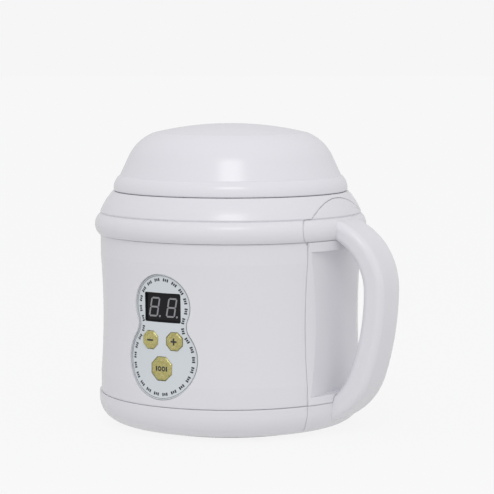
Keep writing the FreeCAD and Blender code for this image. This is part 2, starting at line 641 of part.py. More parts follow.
def make_collar():
    """Upper housing ring: band, sloping collar, spigot for the lid and ledge for the well."""
    lip_outer = "dims.shell_radius - dims.shell_wall - 2 * dims.fit_gap"
    lip_inner = f"{lip_outer} - dims.lip_wall"
    ledge_inner = f"{MOUTH_RADIUS} - dims.ledge_reach"
    ceiling = f"{RIM_Z} - dims.mouth_ceiling"
    wall = "dims.frame_wall"
    section = housing_side("0") + [
        ("dims.spigot_radius", RIM_Z),
        ("dims.spigot_radius", SPIGOT_Z),
        (MOUTH_RADIUS, SPIGOT_Z),
        (MOUTH_RADIUS, LEDGE_Z),
        (ledge_inner, LEDGE_Z),
        (ledge_inner, f"{LEDGE_Z} - dims.ledge_thick"),
        ("dims.spigot_radius", f"{LEDGE_Z} - dims.ledge_thick"),
        ("dims.spigot_radius", ceiling),
        (f"dims.rim_radius - {wall} + 2.2", ceiling),
        (f"dims.groove_radius - {wall}", GROOVE_Z),
        (f"{lip_inner}", f"{BAND_Z} + 2.6",
         f"dims.band_radius - {wall} - 0.4", f"{BAND_Z} + dims.band_height * 0.5"),
        (lip_inner, f"{BAND_Z} - dims.lip_height"),
        (lip_outer, f"{BAND_Z} - dims.lip_height"),
        (lip_outer, f"{BAND_Z} + dims.seam_gap"),
    ]
    solid = [turned("collar_section", section)]
    holes = [upper_lobe_pocket()]
    for index, angle in enumerate(CASE_ANGLES):
        x, y = spot("dims.collar_screw_circle", angle)
        bottom = f"{SEAM_Z} + dims.tab_level + dims.tab_thick"
        solid.append(rod(f"collar_boss_{index}", "dims.case_boss_radius - 0.4",
                         f"{GROOVE_Z} + 6.5 - ({bottom})", x, y, bottom))
        holes.append(rod(f"collar_pilot_{index}", "dims.case_screw_radius", "14", x, y, f"{bottom} - 1"))
    for index, side in enumerate((-1, 1)):
        holes.append(rod(f"high_handle_hole_{index}", "dims.case_screw_radius + 0.1", "40",
                         "60", f"{side} * dims.handle_screw_spread", HIGH_SCREW_Z, "+X"))
        holes.append(rod(f"high_head_flat_{index}", "dims.screw_head_radius + 0.4",
                         f"{HANDLE_SEAT['high']} - 60", "60",
                         f"{side} * dims.handle_screw_spread", HIGH_SCREW_Z, "+X"))
    sub_part("collar", cut("collar_cut", join("collar_solid", *solid), *holes))


def make_handle_panel():
    """Flat recessed panel behind the handle, set in the side of the body."""
    half = "dims.panel_half"
    low = f"{SEAM_Z}"
    recess_low = f"({SEAM_Z} + dims.recess_above)"
    recess_high = f"({BAND_Z} - dims.recess_below)"
    wall = "dims.panel_wall"
    strip = overlap("panel_strip", skin("panel_skin", body_side, "0", "-dims.shell_wall"),
                    side_box("panel_side_box", half, low, BAND_Z))
    tray = overlap("panel_tray", turned("panel_core", [("0", SEAM_Z)] + body_side("0") + [("0", BAND_Z)]),
                   block("panel_tray_box",
                         ("60", f"2 * ({half})", f"{recess_high} - {recess_low} + 2 * {wall}"),
                         (f"dims.recess_plane - {wall} + 30", "0", f"({recess_low} + {recess_high}) / 2")))
    recess = block("panel_recess", ("60", f"2 * ({half}) - 1.2", f"{recess_high} - {recess_low}"),
                   ("dims.recess_plane + 30", "0", f"({recess_low} + {recess_high}) / 2"))
    sub_part("handle_panel", cut("handle_panel_cut", join("panel_solid", strip, tray), recess,
                                 *corner_holes("panel")))


# ---------------------------------------------------------------- control panel

FASCIA_LOW_Z = f"({SEAM_Z} + dims.fascia_level)"
FASCIA_TOP_Z = f"({FASCIA_LOW_Z} + dims.fascia_pitch)"
WINDOW_Z = f"({FASCIA_TOP_Z} - dims.window_drop)"
KEYS = [
    ("minus_button", "(-dims.key_spread / 2)", f"({FASCIA_LOW_Z} + dims.small_key_level)", "dims.small_key"),
    ("plus_button", "(dims.key_spread / 2)", f"({FASCIA_LOW_Z} + dims.small_key_level)", "dims.small_key"),
    ("mode_button", "0", f"({FASCIA_LOW_Z} - dims.large_key_drop)", "dims.large_key"),
]


def gourd(grow):
    """Outline of two circles joined by hollow necks, grown all round by the same amount."""
    upper, lower, neck = ("dims.fascia_top_radius", "dims.fascia_low_radius", "dims.fascia_neck_radius")
    above = f"({upper} + {neck})"
    below = f"({lower} + {neck})"
    neck_z = f"((dims.fascia_pitch ^ 2 + {below} ^ 2 - {above} ^ 2) / (2 * dims.fascia_pitch))"
    neck_x = f"sqrt({below} ^ 2 - {neck_z} ^ 2)"
    top_x = f"(({upper} + ({grow})) * {neck_x} / {above})"
    top_z = f"({FASCIA_TOP_Z} + ({upper} + ({grow})) * ({neck_z} - dims.fascia_pitch) / {above})"
    low_x = f"(({lower} + ({grow})) * {neck_x} / {below})"
    low_z = f"({FASCIA_LOW_Z} + ({lower} + ({grow})) * {neck_z} / {below})"
    waist_x = f"({neck_x} - {neck} + ({grow}))"
    waist_z = f"({FASCIA_LOW_Z} + {neck_z})"
    return [
        (f"-{top_x}", top_z, f"-{waist_x}", waist_z),
        (top_x, top_z, "0", f"{FASCIA_TOP_Z} + {upper} + ({grow})"),
        (low_x, low_z, waist_x, waist_z),
        (f"-{low_x}", low_z, "0", f"{FASCIA_LOW_Z} - {lower} - ({grow})"),
    ]


def octagon(x, z, flats, grow="0"):
    """A regular octagon with level and upright flats."""
    half = f"(({flats}) / 2 + ({grow}))"
    corner = f"({half} * tan(22.5))"
    signs = [(-1, -1, 1), (1, -1, 1), (1, -1, 0), (1, 1, 0), (1, 1, 1), (-1, 1, 1), (-1, 1, 0), (-1, -1, 0)]
    return [(f"{x} + ({sx}) * {corner if flat else half}", f"{z} + ({sz}) * {half if flat else corner}")
            for sx, sz, flat in signs]


def rounded_window(width, height, corner):
    """A rectangle with round corners about the window's centre."""
    half_x, half_z = f"({width}) / 2", f"({height}) / 2"
    steps = []
    for sx, sz, upright_first in ((1, -1, False), (1, 1, True), (-1, 1, False), (-1, -1, True)):
        level = (f"{sx} * ({half_x} - {corner})", f"{WINDOW_Z} + {sz} * {half_z}")
        upright = (f"{sx} * {half_x}", f"{WINDOW_Z} + {sz} * ({half_z} - {corner})")
        via = (f"{sx} * ({half_x} - {corner} * (1 - cos(45)))",
               f"{WINDOW_Z} + {sz} * ({half_z} - {corner} * (1 - cos(45)))")
        first, second = (upright, level) if upright_first else (level, upright)
        steps += [first, second + via]
    return steps


def board_posts():
    """Where the control board is screwed to posts on the fascia."""
    return [("-12", f"{FASCIA_TOP_Z} + 13.6"), ("12", f"{FASCIA_TOP_Z} + 13.6"),
            ("-17.5", f"{FASCIA_LOW_Z} - 12"), ("17.5", f"{FASCIA_LOW_Z} - 12")]


def make_control_panel():
    """Fascia, display and window, three octagonal buttons, switches and their board."""
    sink = "dims.fascia_sink"
    face = overlap("fascia_face",
                   skin("fascia_face_skin", body_side, f"-{sink}", f"-{sink} - dims.fascia_wall"),
                   prism("fascia_face_prism", "XZ_Plane", [gourd("-dims.key_gap")], "120"))
    flange_out = f"-{sink} - dims.fascia_wall + dims.fascia_flange_thick"
    flange = overlap("fascia_rim",
                     skin("fascia_rim_skin", body_side, flange_out, f"-{sink} - dims.fascia_wall"),
                     prism("fascia_rim_prism", "XZ_Plane", [gourd("dims.fascia_flange")], "120"))
    posts, pilots, screws = [], [], []
    for index, (x, z) in enumerate(board_posts()):
        reach = (f"dims.waist_radius - dims.fascia_sink - 0.3 - ({x}) ^ 2 / (2 * dims.waist_radius)"
                 " - dims.board_face")
        posts.append(rod(f"fascia_post_{index}", "dims.post_radius", reach, x, "-dims.board_face", z, "-Y"))
        pilots.append(rod(f"fascia_pilot_{index}", "dims.screw_radius", "5", x,
                          "-dims.board_face + 0.5", z, "-Y"))
        screws.append(screw(f"control_screw_{index}", x, "-dims.board_face + dims.board_thick", z, "-Y",
                            "5.5", head="2.4", head_thick="1.5"))
    holes = [prism("window_hole", "XZ_Plane",
                   [rounded_window("dims.window_width", "dims.window_height", "dims.window_corner")], "120")]
    for name, x, z, flats in KEYS:
        holes.append(prism(name + "_hole", "XZ_Plane", [octagon(x, z, flats, "dims.key_gap")], "120"))
    sub_part("fascia", cut("fascia_cut", join("fascia_solid", face, flange, *posts), *holes, *pilots))

    sub_part("control_board", cut(
        "control_board_cut",
        block("control_board_plate", ("2 * dims.board_half_width", "dims.board_thick", "dims.board_height"),
              ("0", "-dims.board_face + dims.board_thick / 2",
               f"{FASCIA_LOW_Z} - dims.board_drop + dims.board_height / 2")),
        *[rod(f"control_hole_{index}", "dims.screw_radius + 0.1", "dims.board_face - 55", x, "-60", z, "-Y")
          for index, (x, z) in enumerate(board_posts())]))
    sub_part("control_board_screws", group("control_screw_group", *screws))
    sub_part("display_module", block(
        "display_block", ("dims.display_width", "dims.display_depth", "dims.display_height"),
        ("0", "-dims.board_face - dims.display_depth / 2", WINDOW_Z)))

    switches = []
    for index, (name, x, z, flats) in enumerate(KEYS):
        case = block(f"switch_case_{index}", ("dims.switch_side", "dims.switch_body", "dims.switch_side"),
                     (x, "-dims.board_face - dims.switch_body / 2", z))
        stud = rod(f"switch_stud_{index}", "1.7", "dims.switch_height", x, "-dims.board_face", z, "-Y")
        switches.append(join(f"switch_{index}", case, stud))
        make_button(name, x, z, flats)
    sub_part("tact_switches", group("switch_group", *switches))


def make_button(name, x, z, flats):
    """An octagonal key cap with a chamfered face, a stop flange behind the fascia and a stem."""
    curve = f"({x}) ^ 2 / (2 * dims.waist_radius)"
    front = f"(dims.waist_radius - dims.fascia_sink + dims.key_proud - {curve})"
    flange_face = "(dims.waist_radius - dims.fascia_sink - dims.fascia_wall - 1.9)"
    back = f"({flange_face} - dims.key_flange_thick)"
    cap = prism(name + "_cap", "XZ_Plane", [octagon(x, z, flats)], front)
    behind = block(name + "_behind", ("80", f"2 * {back}", "300"), ("0", "0", "0"))
    cap_cut = cut(name + "_cap_cut", cap, behind)
    chamfer = doc.addObject("Part::Chamfer", name + "_chamfer")
    chamfer.Base = cap_cut
    doc.recompute()
    face_y = -value(front)
    rim = [number for number, edge in enumerate(cap_cut.Shape.Edges, start=1)
           if abs(edge.BoundBox.YMin - face_y) < 0.01 and abs(edge.BoundBox.YMax - face_y) < 0.01]
    chamfer.Edges = [(number, 0.7, 0.7) for number in rim]
    flange = cut(name + "_flange", prism(name + "_flange_prism", "XZ_Plane",
                                         [octagon(x, z, flats, "dims.key_flange")], flange_face), behind)
    stem_end = "(dims.board_face + dims.switch_height + dims.key_travel + 0.05)"
    stem = rod(name + "_stem", "1.7", f"{back} + 0.5 - {stem_end}", x, f"-{stem_end}", z, "-Y")
    sub_part(name, join(name + "_solid", chamfer, flange, stem))


# ---------------------------------------------------------------- well, pot and lids


def make_well():
    """Aluminium well, its gasket and retaining ring, the felt sleeve, the heater and its sensors."""
    outer = "(dims.well_radius + dims.well_wall)"
    top = f"({FLANGE_Z} + dims.flange_thick)"
    flange = f"({MOUTH_RADIUS} - dims.fit_gap)"
    corner = "dims.well_corner"
    well = turned("well_section", [
        ("0", WELL_FLOOR_Z),
        (f"dims.well_radius - {corner}", WELL_FLOOR_Z),
        (outer, f"{WELL_FLOOR_Z} + {corner} + dims.well_wall",
         f"dims.well_radius - {corner} + ({corner} + dims.well_wall) * sin(45)",
         f"{WELL_FLOOR_Z} + ({corner} + dims.well_wall) * (1 - cos(45))"),
        (outer, FLANGE_Z),
        (flange, FLANGE_Z),
        (flange, top),
        ("dims.well_radius", top),
        ("dims.well_radius", f"{WELL_FLOOR_Z} + {corner} + dims.well_wall"),
        (f"dims.well_radius - {corner}", f"{WELL_FLOOR_Z} + dims.well_wall",
         f"dims.well_radius - {corner} + {corner} * sin(45)",
         f"{WELL_FLOOR_Z} + dims.well_wall + {corner} * (1 - cos(45))"),
        ("0", f"{WELL_FLOOR_Z} + dims.well_wall"),
    ])
    sub_part("heating_well", well)
    sub_part("well_gasket", ring("well_gasket_ring", flange, f"{MOUTH_RADIUS} - dims.ledge_reach",
                                 LEDGE_Z, "dims.gasket_thick"))
    sub_part("retaining_ring", ring("retaining_ring_band", flange, "dims.well_radius + 0.6", RETAINER_Z,
                                    "dims.retainer_thick"))
    sub_part("felt_sleeve", ring("felt_ring", f"{outer} + 0.1 + dims.felt_thick", f"{outer} + 0.1",
                                 f"{WELL_FLOOR_Z} + 12", "dims.felt_height"))
    heater_z = f"({WELL_FLOOR_Z} - dims.heater_thick / 2)"
    sub_part("ptc_heater", block("heater_block", ("dims.heater_length", "dims.heater_width",
                                                  "dims.heater_thick"), ("0", "-6", heater_z)))
    clamp_z = f"({WELL_FLOOR_Z} - dims.heater_thick - dims.clamp_thick / 2)"
    arm = "dims.heater_length / 2"
    strap = block("clamp_strap", ("dims.heater_length + 2", "14", "dims.clamp_thick"), ("0", "-6", clamp_z))
    ends, clamp_holes, studs, clamp_screws = [], [], [], []
    for index, side in enumerate((-1, 1)):
        ends.append(block(f"clamp_riser_{index}",
                          ("dims.clamp_thick", "14", "dims.heater_thick + dims.clamp_thick"),
                          (f"{side} * ({arm} + dims.clamp_thick / 2)", "-6",
                           f"{WELL_FLOOR_Z} - (dims.heater_thick + dims.clamp_thick) / 2")))
        ends.append(block(f"clamp_foot_{index}", ("9", "14", "dims.clamp_thick"),
                          (f"{side} * ({arm} + 5)", "-6", f"{WELL_FLOOR_Z} - dims.clamp_thick / 2")))
        clamp_holes.append(rod(f"clamp_hole_{index}", "1.6", "20", f"{side} * ({arm} + 5.5)", "-6",
                               f"{WELL_FLOOR_Z} - 10"))
        clamp_screws.append(screw(f"clamp_screw_{index}", f"{side} * ({arm} + 5.5)", "-6",
                                  f"{WELL_FLOOR_Z} - dims.clamp_thick", "+Z", "dims.clamp_thick", "1.5",
                                  "2.8", "1.8"))
    sub_part("heater_clamp", cut("heater_clamp_cut", join("clamp_solid", strap, *ends), *clamp_holes))
    sub_part("clamp_screws", group("clamp_screw_group", *clamp_screws))
    sub_part("thermal_fuse", rod("fuse_case", "2", "12", "-6", "12", f"{WELL_FLOOR_Z} - 2", "+X"))
    sub_part("temperature_sensor", rod("sensor_case", "2.5", "9", "18", "22", f"{WELL_FLOOR_Z} - 9"))


def make_pot():
    """Deep drawn pot with a flat rim, its plug lid with a grip knob, and the lid's seal."""
    wall, radius = "dims.pot_wall", "dims.pot_radius"
    top = f"({POT_RIM_Z} + dims.pot_rim_thick)"
    floor = f"({top} - dims.pot_depth)"
    corner = "dims.well_corner"
    centre_z = f"{floor} + {corner}"
    pot = turned("pot_section", [
        ("0", floor),
        (f"{radius} - {corner}", floor),
        (radius, centre_z, f"{radius} - {corner} * (1 - cos(45))", f"{floor} + {corner} * (1 - cos(45))"),
        (radius, POT_RIM_Z),
        (f"{radius} + dims.pot_rim_reach", POT_RIM_Z),
        (f"{radius} + dims.pot_rim_reach", top,
         f"{radius} + dims.pot_rim_reach + dims.pot_rim_thick / 2", f"{POT_RIM_Z} + dims.pot_rim_thick / 2"),
        (f"{radius} - {wall}", top),
        (f"{radius} - {wall}", centre_z),
        (f"{radius} - {corner}", f"{floor} + {wall}",
         f"{radius} - {corner} + ({corner} - {wall}) * cos(45)",
         f"{centre_z} - ({corner} - {wall}) * sin(45)"),
        ("0", f"{floor} + {wall}"),
    ])
    sub_part("inner_pot", pot)
    bore = f"({radius} - {wall})"
    plug = f"({bore} - dims.seal_bead)"
    lid_z, thick = top, "dims.pot_lid_thick"
    plate_top = f"({lid_z} + {thick})"
    knob_top = f"({plate_top} + dims.knob_height)"
    lid = turned("pot_lid_section", [
        ("0", lid_z),
        (f"{plug} - 1.8", lid_z),
        (f"{plug} - 1.8", f"{lid_z} - dims.plug_depth"),
        (plug, f"{lid_z} - dims.plug_depth"),
        (plug, f"{lid_z} - 4.4"),
        (f"{plug} - 0.8", f"{lid_z} - 4.4"),
        (f"{plug} - 0.8", f"{lid_z} - 2"),
        (plug, f"{lid_z} - 2"),
        (plug, lid_z),
        (f"{radius} + dims.pot_rim_reach", lid_z),
        (f"{radius} + dims.pot_rim_reach", plate_top,
         f"{radius} + dims.pot_rim_reach + {thick} / 2", f"{lid_z} + {thick} / 2"),
        (f"dims.knob_radius - 3", plate_top),
        ("dims.knob_radius", f"{knob_top} - 4",
         "dims.knob_radius - 3.2", f"{plate_top} + (dims.knob_height - 4) / 2"),
        ("dims.knob_radius - 3", knob_top, "dims.knob_radius - 0.3", f"{knob_top} - 1.2"),
        ("0", knob_top),
    ])
    sub_part("pot_lid", lid)
    sub_part("pot_lid_seal", ring("pot_seal_ring", f"{bore} - 0.1", f"{plug} - 0.8", f"{lid_z} - 4.4", "2.4"))


def make_lid():
    """Domed outer lid, its lining, the seal that sits on the spigot and the lining's screws."""
    wall = "dims.lid_wall"
    neck_z = f"({LID_Z} + dims.lid_rim_height)"
    side_z = f"({neck_z} + dims.lid_side_height)"
    top_z = f"({side_z} + dims.lid_crown_height)"
    crown_z = f"({top_z} - dims.lid_crown_rise)"
    side_radius = "(dims.lid_neck_radius - dims.lid_taper)"
    shoulder_x = f"({side_radius} + dims.lid_crown_radius) / 2"
    shoulder_z = f"({side_z} + {crown_z}) / 2"
    lean = f"sqrt(({side_radius} - dims.lid_crown_radius) ^ 2 + ({crown_z} - {side_z}) ^ 2)"
    push_x = f"({crown_z} - {side_z}) / {lean}"
    push_z = f"({side_radius} - dims.lid_crown_radius) / {lean}"

    def dome(offset):
        return [
            (f"dims.lid_radius - 0.5 + ({offset})", LID_Z),
            (f"dims.lid_radius + ({offset})", f"{LID_Z} + 0.6"),
            (f"dims.lid_neck_radius + 0.6 + ({offset})", f"{neck_z} - 0.3",
             f"(dims.lid_radius + dims.lid_neck_radius + 0.6) / 2 + dims.lid_rim_bulge + ({offset})",
             f"({LID_Z} + {neck_z}) / 2"),
            (f"dims.lid_neck_radius + ({offset})", neck_z),
            (f"{side_radius} + ({offset})", side_z),
            (f"dims.lid_crown_radius + ({offset}) * 0.8", f"{crown_z} + ({offset}) * 0.8",
             f"{shoulder_x} + {push_x} * (dims.lid_shoulder_bulge + ({offset}))",
             f"{shoulder_z} + {push_z} * (dims.lid_shoulder_bulge + ({offset}))"),
            ("0", f"{top_z} + ({offset})", "dims.lid_crown_radius / 2",
             f"{top_z} - dims.lid_crown_rise / 4 + ({offset})"),
        ]

    liner_z = f"({SPIGOT_Z} + dims.lid_seal_thick)"
    liner_top = f"({liner_z} + 1.6 + dims.liner_side + dims.liner_shoulder)"
    inside = backwards(dome(f"-{wall}"))
    section = dome("0") + inside[:-2] + [(f"dims.lid_radius - {wall} - 0.3", LID_Z)]
    bosses, pilots, screws = [], [], []
    for index, angle in enumerate((90, 210, 330)):
        x, y = spot("dims.lid_boss_circle", angle)
        bosses.append(rod(f"lid_boss_{index}", "dims.lid_boss_radius", f"{crown_z} - 0.4 - {liner_top}",
                          x, y, liner_top))
        pilots.append(rod(f"lid_pilot_{index}", "dims.screw_radius", "6.5", x, y, f"{liner_top} - 1"))
        screws.append(screw(f"lid_screw_{index}", x, y, f"{liner_top} - dims.liner_wall", "+Z",
                            "7", head_thick="1.8"))
    sub_part("lid_shell", cut("lid_shell_cut", join("lid_solid", turned("lid_section", section), *bosses),
                              *pilots))
    lw = "dims.liner_wall"
    edge = "(dims.spigot_radius - 0.2)"
    foot = "(dims.spigot_radius - 2)"
    liner = turned("liner_section", [
        (f"{foot} - 2.2", liner_z),
        (edge, liner_z),
        (edge, f"{liner_z} + {lw}"),
        (foot, f"{liner_z} + {lw}"),
        (f"{foot} - dims.liner_taper", f"{liner_z} + {lw} + dims.liner_side"),
        (f"{foot} - dims.liner_taper - 5", liner_top,
         f"{foot} - dims.liner_taper - 1.4", f"{liner_top} - 1.5"),
        ("0", liner_top),
        ("0", f"{liner_top} - {lw}"),
        (f"{foot} - dims.liner_taper - 5", f"{liner_top} - {lw}"),
        (f"{foot} - dims.liner_taper - {lw}", f"{liner_z} + {lw} + dims.liner_side - 0.4",
         f"{foot} - dims.liner_taper - 2.6", f"{liner_top} - 2.6"),
    ])
    holes = [rod(f"liner_hole_{index}", "dims.screw_radius + 0.1", "8", *spot("dims.lid_boss_circle", angle),
                 f"{liner_top} - 4") for index, angle in enumerate((90, 210, 330))]
    sub_part("lid_liner", cut("lid_liner_cut", liner, *holes))
    sub_part("lid_seal", ring("lid_seal_ring", edge, f"{MOUTH_RADIUS} + 0.2", SPIGOT_Z, "dims.lid_seal_thick"))
    sub_part("lid_screws", group("lid_screw_group", *screws))


# ---------------------------------------------------------------- power side


def make_inlet():
    """Two pole appliance inlet at the back: body with a figure of eight socket, and two pins."""
    centre_z = f"({SEAM_Z} + dims.inlet_level)"
    face = "(dims.shell_radius - 0.3)"
    body = block("inlet_body", ("dims.inlet_width", "dims.inlet_depth", "dims.inlet_height"),
                 ("0", f"{face} - dims.inlet_depth / 2", centre_z))
    lip = block("inlet_flange", ("dims.inlet_width + 2 * dims.inlet_lip", "1.6",
                                 "dims.inlet_height + dims.inlet_lip"),
                ("0", f"{face} - 0.3", f"{centre_z} + dims.inlet_lip / 2"))
    half = "dims.inlet_pin_pitch / 2"
    start = f"({face} - dims.inlet_socket_depth)"
    deep = "dims.inlet_socket_depth + 2"
    holes = [rod(f"socket_{index}", "dims.inlet_socket_radius", deep,
                 f"{side} * {half}", start, centre_z, "+Y") for index, side in enumerate((-1, 1))]
    holes.append(block("socket_bridge", ("dims.inlet_pin_pitch", deep,
                                         "2 * dims.inlet_socket_radius - 1.2"),
                       ("0", f"{start} + ({deep}) / 2", centre_z)))
    pin_start = f"({face} - dims.inlet_depth - 2)"
    pins, bores = [], []
    for index, side in enumerate((-1, 1)):
        pins.append(rod(f"inlet_pin_{index}", "dims.inlet_pin_radius",
                        f"{start} + dims.inlet_pin_length - {pin_start}",
                        f"{side} * {half}", pin_start, centre_z, "+Y"))
        bores.append(rod(f"inlet_bore_{index}", "dims.inlet_pin_radius", f"{start} + 1 - {pin_start}",
                         f"{side} * {half}", pin_start, centre_z, "+Y"))
    sub_part("power_inlet", cut("power_inlet_cut", join("inlet_solid", body, lip), *holes, *bores))
    sub_part("inlet_pins", group("inlet_pin_group", *pins))


def make_power_board():
    """Power board on posts in the base, with its transformer, relay, capacitor and terminals."""
    level = f"({BASE_Z} + dims.power_board_level)"
    top = f"({level} + dims.board_thick)"
    centre_y = "dims.power_board_offset"
    plate = block("power_plate", ("dims.power_board_length", "dims.power_board_width", "dims.board_thick"),
                  ("0", centre_y, f"{level} + dims.board_thick / 2"))
    holes = [rod(f"power_hole_{index}", "dims.screw_radius + 0.1", "6", x, y, f"{level} - 2")
             for index, (x, y) in enumerate(board_corners())]
    sub_part("power_board", cut("power_board_cut", plate, *holes))
    sub_part("power_board_screws", group("power_screw_group", *[
        screw(f"power_screw_{index}", x, y, top, "-Z", "6", head="2.6", head_thick="1.6")
        for index, (x, y) in enumerate(board_corners())]))
    core = block("transformer_core", ("20", "18", "13"), ("-18", centre_y, f"{top} + 6.5"))
    coil = block("transformer_coil", ("14", "22", "9"), ("-18", centre_y, f"{top} + 6.5"))
    sub_part("transformer", join("transformer_solid", core, coil))
    sub_part("relay", block("relay_case", ("19", "15", "14"), ("6", f"{centre_y} + 6", f"{top} + 7")))
    sub_part("capacitor", rod("capacitor_can", "4.5", "12", "24", f"{centre_y} + 6", top))
    sub_part("terminal_block", block("terminals", ("20", "8", "9"), ("14", f"{centre_y} - 12", f"{top} + 4.5")))


def make_base_fittings():
    """Ring foot, case screws, collar screws and the blank rating plate."""
    sub_part("rubber_foot", ring("foot_band", "dims.foot_outer", "dims.foot_inner", "0",
                                 "dims.foot_height + dims.foot_sink"))
    case, upper = [], []
    for index, angle in enumerate(CASE_ANGLES):
        x, y = front_circle(angle)
        case.append(screw(f"case_screw_{index}", x, y, f"{BASE_Z} + dims.screw_head + 6.2", "+Z", "20",
                          "dims.case_screw_radius"))
        x, y = spot("dims.collar_screw_circle", angle)
        upper.append(screw(f"collar_screw_{index}", x, y, f"{SEAM_Z} + dims.tab_level", "+Z", "14",
                           "dims.case_screw_radius"))
    sub_part("case_screws", group("case_screw_group", *case))
    sub_part("collar_screws", group("collar_screw_group", *upper))
    sub_part("rating_plate", block("rating_label", ("36", "22", "0.3"), ("0", "0", f"{BASE_Z} - 0.15")))


def lead(name, points, bend, profile):
    """One wire bent through points with round corners; profile makes its section at the start."""
    path = [Vector(*[value(p) for p in point]) for point in points]
    radius = value(bend)
    edges = []
    at = path[0]
    for before, corner, after in zip(path, path[1:], path[2:]):
        into = (corner - before).normalize()
        out = (after - corner).normalize()
        setback = radius * (1 - into.dot(out)) / into.cross(out).Length
        start, finish = corner - into * setback, corner + out * setback
        side = (out - into).normalize()
        middle = (start + finish) / 2
        sagitta = radius - (radius ** 2 - ((finish - start).Length / 2) ** 2) ** 0.5
        edges.append(Part.LineSegment(at, start).toShape())
        edges.append(Part.Arc(start, middle - side * sagitta, finish).toShape())
        at = finish
    edges.append(Part.LineSegment(at, path[-1]).toShape())
    aim = Rotation(Vector(0, 0, 1), path[1] - path[0])
    section = profile.transformed(Placement(path[0], aim).toMatrix())
    shape_object = doc.addObject("Part::Feature", name)
    shape_object.Shape = Part.Wire(edges).makePipeShell([section], True, True)
    return shape_object


def make_wiring():
    """Leads of the heater, thermal fuse, sensor and inlet, and the ribbon to the control board."""
    round_wire = Part.Wire(Part.makeCircle(value("dims.wire_radius")))
    board_top = f"{BASE_Z} + dims.power_board_level + dims.board_thick"
    heater_z = f"{WELL_FLOOR_Z} - dims.heater_thick / 2"
    fuse_z = f"{WELL_FLOOR_Z} - 2"
    block_top = f"{board_top} + 9"
    block_y = "dims.power_board_offset - 12"
    sub_part("heater_leads", group("heater_lead_pair", *[
        lead(f"heater_lead_{index}", [(x, "dims.heater_width / 2 - 6", heater_z), (x, block_y, heater_z),
                                      (x, block_y, block_top)], "3", round_wire)
        for index, x in enumerate(("12.5", "18"))]))
    sub_part("fuse_leads", group(
        "fuse_lead_pair",
        lead("fuse_lead_0", [("-6", "12", fuse_z), ("-11", "12", fuse_z), ("-11", "12", board_top)], "2",
             round_wire),
        lead("fuse_lead_1", [("6", "12", fuse_z), ("9", "12", fuse_z), ("9", "12", block_top)], "2",
             round_wire)))
    sub_part("sensor_leads", group("sensor_lead_pair", *[
        rod(f"sensor_lead_{index}", "dims.wire_radius", f"{WELL_FLOOR_Z} - 9 - ({board_top})", x, "22",
            board_top) for index, x in enumerate(("17", "19"))]))
    pin_z = f"{SEAM_Z} + dims.inlet_level"
    pin_back = "dims.shell_radius - 2.3 - dims.inlet_depth"
    sub_part("inlet_leads", group("inlet_lead_pair", *[
        lead(f"inlet_lead_{index}", [(f"{side} * dims.inlet_pin_pitch / 2", pin_back, pin_z),
                                     (f"{side} * dims.inlet_pin_pitch / 2", "42", pin_z),
                                     (f"{side} * dims.inlet_pin_pitch / 2", "42", board_top)], "8",
             round_wire)
        for index, side in enumerate((-1, 1))]))
    half, thick = value("dims.ribbon_width / 2"), value("dims.ribbon_thick / 2")
    flat = Part.makePolygon([Vector(-half, -thick, 0), Vector(half, -thick, 0), Vector(half, thick, 0),
                             Vector(-half, thick, 0), Vector(-half, -thick, 0)])
    run_z = f"{board_top} + 10"
    turn_y = "-dims.board_face + 12"
    plug_z = f"{FASCIA_LOW_Z} - 12"
    sub_part("panel_ribbon", lead("panel_ribbon_strip", [
        ("0", "dims.power_board_offset - 20", board_top), ("0", "dims.power_board_offset - 20", run_z),
        ("0", turn_y, run_z), ("0", turn_y, plug_z),
        ("0", "-dims.board_face + dims.board_thick", plug_z)], "3", flat))


# ---------------------------------------------------------------- build and export


def check_document():
    doc.recompute()
    broken = [item.Name for item in doc.Objects if "Invalid" in item.State or "Error" in item.State]
    if broken:
        raise RuntimeError(f"failed: {broken}")
    for item in nodes:
        if item.Shape.isNull() or not item.Shape.isValid() or not item.Shape.Solids:
            raise RuntimeError(f"{item.Label} has no valid solid")


make_base_pan()
make_body_shell()
make_collar()
make_handle_panel()
make_handle()
make_control_panel()
make_well()
make_pot()
make_lid()
make_inlet()
make_power_board()
make_base_fittings()
make_wiring()
check_document()
os.makedirs("parts", exist_ok=True)
for item in nodes:
    item.Shape.exportStep(f"parts/{item.Label}.step")
    print(item.Label, len(item.Shape.Solids), round(item.Shape.Volume, 1))
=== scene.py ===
import math

import bmesh
import bpy
from mathutils import Matrix, Vector


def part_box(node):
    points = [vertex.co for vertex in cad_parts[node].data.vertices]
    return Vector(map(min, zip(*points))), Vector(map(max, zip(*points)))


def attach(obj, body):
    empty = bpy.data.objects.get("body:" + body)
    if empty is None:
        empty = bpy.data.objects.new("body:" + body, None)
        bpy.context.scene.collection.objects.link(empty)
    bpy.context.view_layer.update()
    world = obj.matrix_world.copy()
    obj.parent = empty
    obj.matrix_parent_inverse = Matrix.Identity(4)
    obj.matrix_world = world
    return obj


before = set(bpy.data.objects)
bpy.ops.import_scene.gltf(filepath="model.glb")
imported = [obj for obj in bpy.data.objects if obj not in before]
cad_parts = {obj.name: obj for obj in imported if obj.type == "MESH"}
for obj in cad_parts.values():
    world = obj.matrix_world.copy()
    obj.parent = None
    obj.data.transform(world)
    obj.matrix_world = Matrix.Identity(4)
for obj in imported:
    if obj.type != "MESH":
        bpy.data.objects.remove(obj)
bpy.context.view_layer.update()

# ---------------------------------------------------------------- camera
# A long lens looks slightly down at the front right of the yogurt maker, with the panel to the left
# and the handle to the right.
camera_azimuth = math.radians(31.5)
camera_distance = 1.311
camera_height = 0.243
camera_pitch = math.radians(5.58)
camera_turn = math.radians(0.47)
camera_data = bpy.data.cameras.new("camera")
camera_data.sensor_width = 36.0
camera_data.lens = 145.75
camera_data.clip_end = 20.0
camera = bpy.data.objects.new("camera", camera_data)
bpy.context.scene.collection.objects.link(camera)
